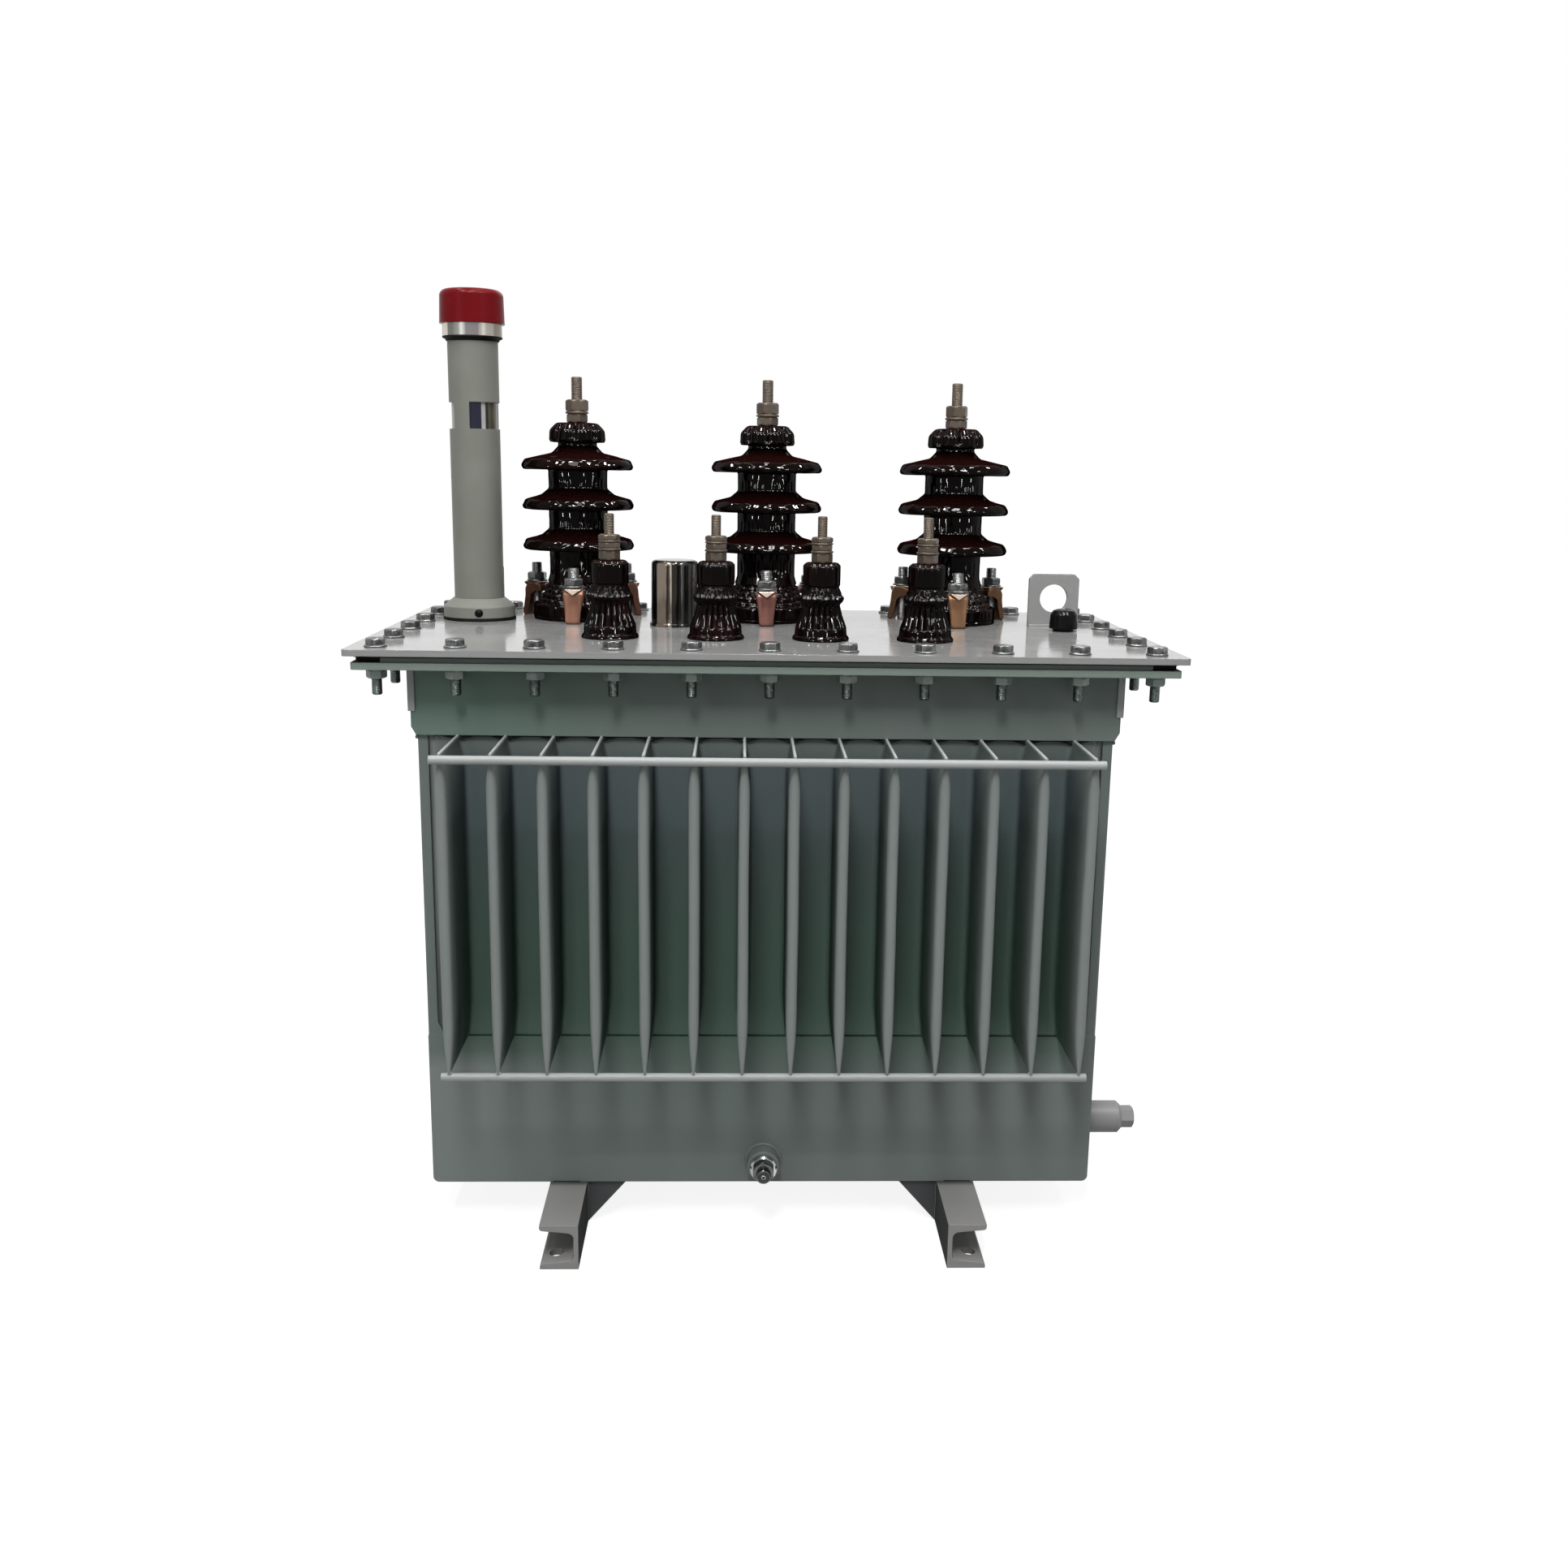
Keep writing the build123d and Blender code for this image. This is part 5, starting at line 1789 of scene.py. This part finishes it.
@dataclass
class FrameNodes(Part):
    """The frame's own nodes that are shown as they are, with their finishes."""

    FINISHES: ClassVar[dict[Finish, tuple[str, ...]]] = {
        Finish.TANK: ("bottom_pan", "left_side_wall", "right_side_wall", "stop_bars", "drain_boss"),
        Finish.PLATE: ("front_lower_plate", "back_lower_plate"),
        Finish.COLLAR: ("tank_collar",),
        Finish.RIM: ("tank_rim",),
        Finish.ROD: ("front_fin_rods", "back_fin_rods"),
        Finish.FOOT: ("left_foot", "right_foot"),
        Finish.LUG: ("left_lifting_lug", "right_lifting_lug", "sampling_pipe"),
        Finish.COVER: ("cover_plate",),
        Finish.RUBBER: ("cover_gasket",),
        Finish.CUP: ("tap_changer_cap",),
        Finish.GAUGE: ("gauge_base", "gauge_tube"),
        Finish.SIGHT: ("gauge_glass",),
        Finish.SILVER: ("gauge_ring",),
        Finish.RED: ("gauge_cap",),
    }

    def build(self) -> None:
        """Put the finishes on."""
        for finish, names in self.FINISHES.items():
            for name in names:
                materials = self.bench.nodes[name].data.materials
                materials.clear()
                materials.append(finish.material())
                LOG.info("dressed %s with %s", name, finish.value.name)


# Studio


@dataclass
class Studio:
    """Pale floor, soft lamps and the camera."""

    camera_place: Point = (-0.0278, -1.5520, 0.76017)
    yaw: float = 0.03675
    pitch: float = 0.20717
    roll: float = 0.015812
    focal_pixels: float = 1839.57
    frame_pixels: float = 1932.0
    axis_pixel: tuple[float, float] = (976.35, 954.90)
    room_strength: float = 0.24
    middle: Point = (0.0, 0.0, 0.5)
    glaze_middle: Point = (0.0, 0.05, 0.7)
    floor_half: float = 12.0

    def camera(self) -> None:
        """Place the camera at the viewing angle."""
        data = bpy.data.cameras.new("camera")
        data.sensor_width = 36.0
        data.sensor_fit = "HORIZONTAL"
        data.lens = self.focal_pixels / self.frame_pixels * data.sensor_width
        half = self.frame_pixels / 2
        data.shift_x = (half - self.axis_pixel[0]) / self.frame_pixels
        data.shift_y = (self.axis_pixel[1] - half) / self.frame_pixels
        data.clip_start = 0.05
        data.clip_end = 50.0
        level = math.cos(self.pitch)
        look = Vector((math.sin(self.yaw) * level, math.cos(self.yaw) * level, -math.sin(self.pitch)))
        right = Vector((math.cos(self.yaw), -math.sin(self.yaw), 0.0))
        up = right.cross(look)
        rolled_right = math.cos(self.roll) * right + math.sin(self.roll) * up
        rolled_up = math.cos(self.roll) * up - math.sin(self.roll) * right
        turn = Matrix((rolled_right, rolled_up, -look)).transposed()
        camera = bpy.data.objects.new("camera", data)
        camera.matrix_world = Matrix.Translation(self.camera_place) @ turn.to_4x4()
        bpy.context.scene.collection.objects.link(camera)
        bpy.context.scene.camera = camera

    def lamp(
        self, name: str, place: Point, target: Point, size: tuple[float, float], watts: float,
        only_glints: bool = False, seen_by: bpy.types.Collection | None = None,
    ) -> None:
        """Add one soft rectangular lamp.

        Args:
            name: The lamp's name.
            place: Its centre.
            target: Point that it faces.
            size: Width and height.
            watts: Power.
            only_glints: Whether it is seen in glossy surfaces alone and lights nothing else.
            seen_by: The only pieces that it lights, where not all.
        """
        data = bpy.data.lights.new(name, "AREA")
        data.shape = "RECTANGLE"
        data.size, data.size_y = size
        data.energy = watts
        lamp = bpy.data.objects.new(name, data)
        lamp.visible_diffuse = not only_glints
        lamp.location = place
        lamp.rotation_euler = (Vector(target) - Vector(place)).to_track_quat("-Z", "Y").to_euler()
        lamp.light_linking.receiver_collection = seen_by
        bpy.context.scene.collection.objects.link(lamp)

    def light_glaze(self, pieces: Sequence[bpy.types.Object]) -> None:
        """Add the bright ceiling and window lights that show as white glints in the glaze.

        Args:
            pieces: The glazed pieces.
        """
        glazed = bpy.data.collections.new("glazed")
        for piece in pieces:
            glazed.objects.link(piece)
        ceiling = ((-2.0, 0.2), (-1.5, -0.9), (-0.35, -1.4), (0.9, -1.3), (2.0, 0.1))
        rows = (
            ("ceiling_row", ceiling, 2.5, (0.18, 0.30), 80.0),
            ("high_row", ((-1.5, -2.3), (0.2, -2.7), (1.9, -2.1)), 1.9, (0.30, 0.34), 120.0),
            ("above", ((0.1, 0.0),), 2.7, (0.20, 0.20), 60.0),
            ("window", ((-2.3, -1.3), (-1.4, -2.1), (1.1, -2.3), (2.2, -1.0)), 0.64, (0.07, 0.16), 14.0),
        )
        for row, spread, z, size, watts in rows:
            for number, (x, y) in enumerate(spread):
                self.lamp(f"{row}_{number}", (x, y, z), self.glaze_middle, size, watts, True, glazed)

    def shown(self, tree: TreeBuilder) -> Term:
        """Whether a ray comes from the camera or from a mirror or glass surface.

        Args:
            tree: The tree to build in.

        Returns:
            The number, 0 or 1.
        """
        rays = tree.add("ShaderNodeLightPath").outputs
        seen = tree.math("MAXIMUM", rays["Is Camera Ray"], rays["Is Glossy Ray"])
        return tree.math("MAXIMUM", seen, rays["Is Transmission Ray"])

    def floor(self) -> None:
        """Lay the pale floor, which glows a little so that it is seen white and keeps shadows."""
        mesh = bpy.data.meshes.new("floor")
        half = self.floor_half
        corners = [(x * half, y * half, 0.0) for x, y in ((-1, -1), (1, -1), (1, 1), (-1, 1))]
        mesh.from_pydata(corners, [], [(0, 1, 2, 3)])
        floor = bpy.data.objects.new("floor", mesh)
        bpy.context.scene.collection.objects.link(floor)
        surface = Surface("floor_paper")
        tree = surface.tree
        distance = tree.add("ShaderNodeVectorMath", {0: surface.place}, operation="LENGTH").outputs["Value"]
        surface.set(
            Base_Color=(0.30, 0.30, 0.30), Roughness=0.9, Specular_IOR_Level=0.0, Emission_Color=WHITE,
            Emission_Strength=Term(tree, distance).ramp(0.4, 2.0, 0.88, 1.0) * self.shown(tree),
        )
        mesh.materials.append(surface.material)

    def world(self) -> None:
        """Light the room evenly and show it white to the camera and in reflections."""
        world = bpy.data.worlds.new("room")
        bpy.context.scene.world = world
        world.use_nodes = True
        tree = TreeBuilder(world.node_tree)
        nodes = world.node_tree.nodes
        room = nodes["Background"]
        tree.put((0.86, 0.87, 0.88), room.inputs["Color"])
        tree.put(self.room_strength, room.inputs["Strength"])
        white = tree.add("ShaderNodeBackground", {"Color": WHITE, "Strength": 1.0})
        inputs = {0: self.shown(tree), 1: room.outputs[0], 2: white.outputs[0]}
        mixed = tree.add("ShaderNodeMixShader", inputs).outputs[0]
        tree.put(mixed, nodes["World Output"].inputs["Surface"])

    def build(self) -> None:
        """Set up the whole studio."""
        bpy.context.scene.view_settings.view_transform = "Standard"
        self.camera()
        self.floor()
        self.world()
        for number, x in enumerate((-0.9, 0.0, 0.9)):
            self.lamp(f"strip_{number}", (x, -0.3, 2.4), (x, -0.299, 0.5), (0.05, 1.8), 12.0)
        for number, x in enumerate((-0.95, 0.1, 1.05)):
            self.lamp(f"ceiling_{number}", (x, -1.1, 2.5), (x * 0.5, 0.0, 0.8), (0.16, 0.40), 34.0, True)
        self.lamp("key", (-0.25, -1.9, 2.5), self.middle, (0.4, 0.9), 40.0)
        self.lamp("front_left", (-1.9, -2.2, 1.7), self.middle, (0.8, 1.6), 8.0)
        self.lamp("front_right", (2.2, -1.8, 1.5), self.middle, (0.6, 1.6), 5.0)
        self.lamp("behind", (0.6, 2.4, 2.0), self.middle, (2.0, 1.0), 10.0)


def main() -> None:
    """Build the dressed transformer."""
    logging.basicConfig(level=logging.INFO, format="%(message)s")
    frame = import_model()
    studio = Studio()
    studio.build()
    bench = Bench(frame)
    parts = (
        CorrugatedWall(bench, Side.FRONT), CorrugatedWall(bench, Side.BACK), TankWelds(bench),
        CoverBolts(bench), HighVoltageBushings(bench), LowVoltageBushings(bench), GaugeTrim(bench),
        ThermometerCap(bench), DrainPlug(bench), FrameNodes(bench),
    )
    for part in parts:
        part.build()
        LOG.info("finished %s", type(part).__name__)
    glaze = Finish.PORCELAIN.material().name
    studio.light_glaze([piece for piece in bench.pieces if glaze in piece.data.materials])


if __name__ == "__main__":
    main()
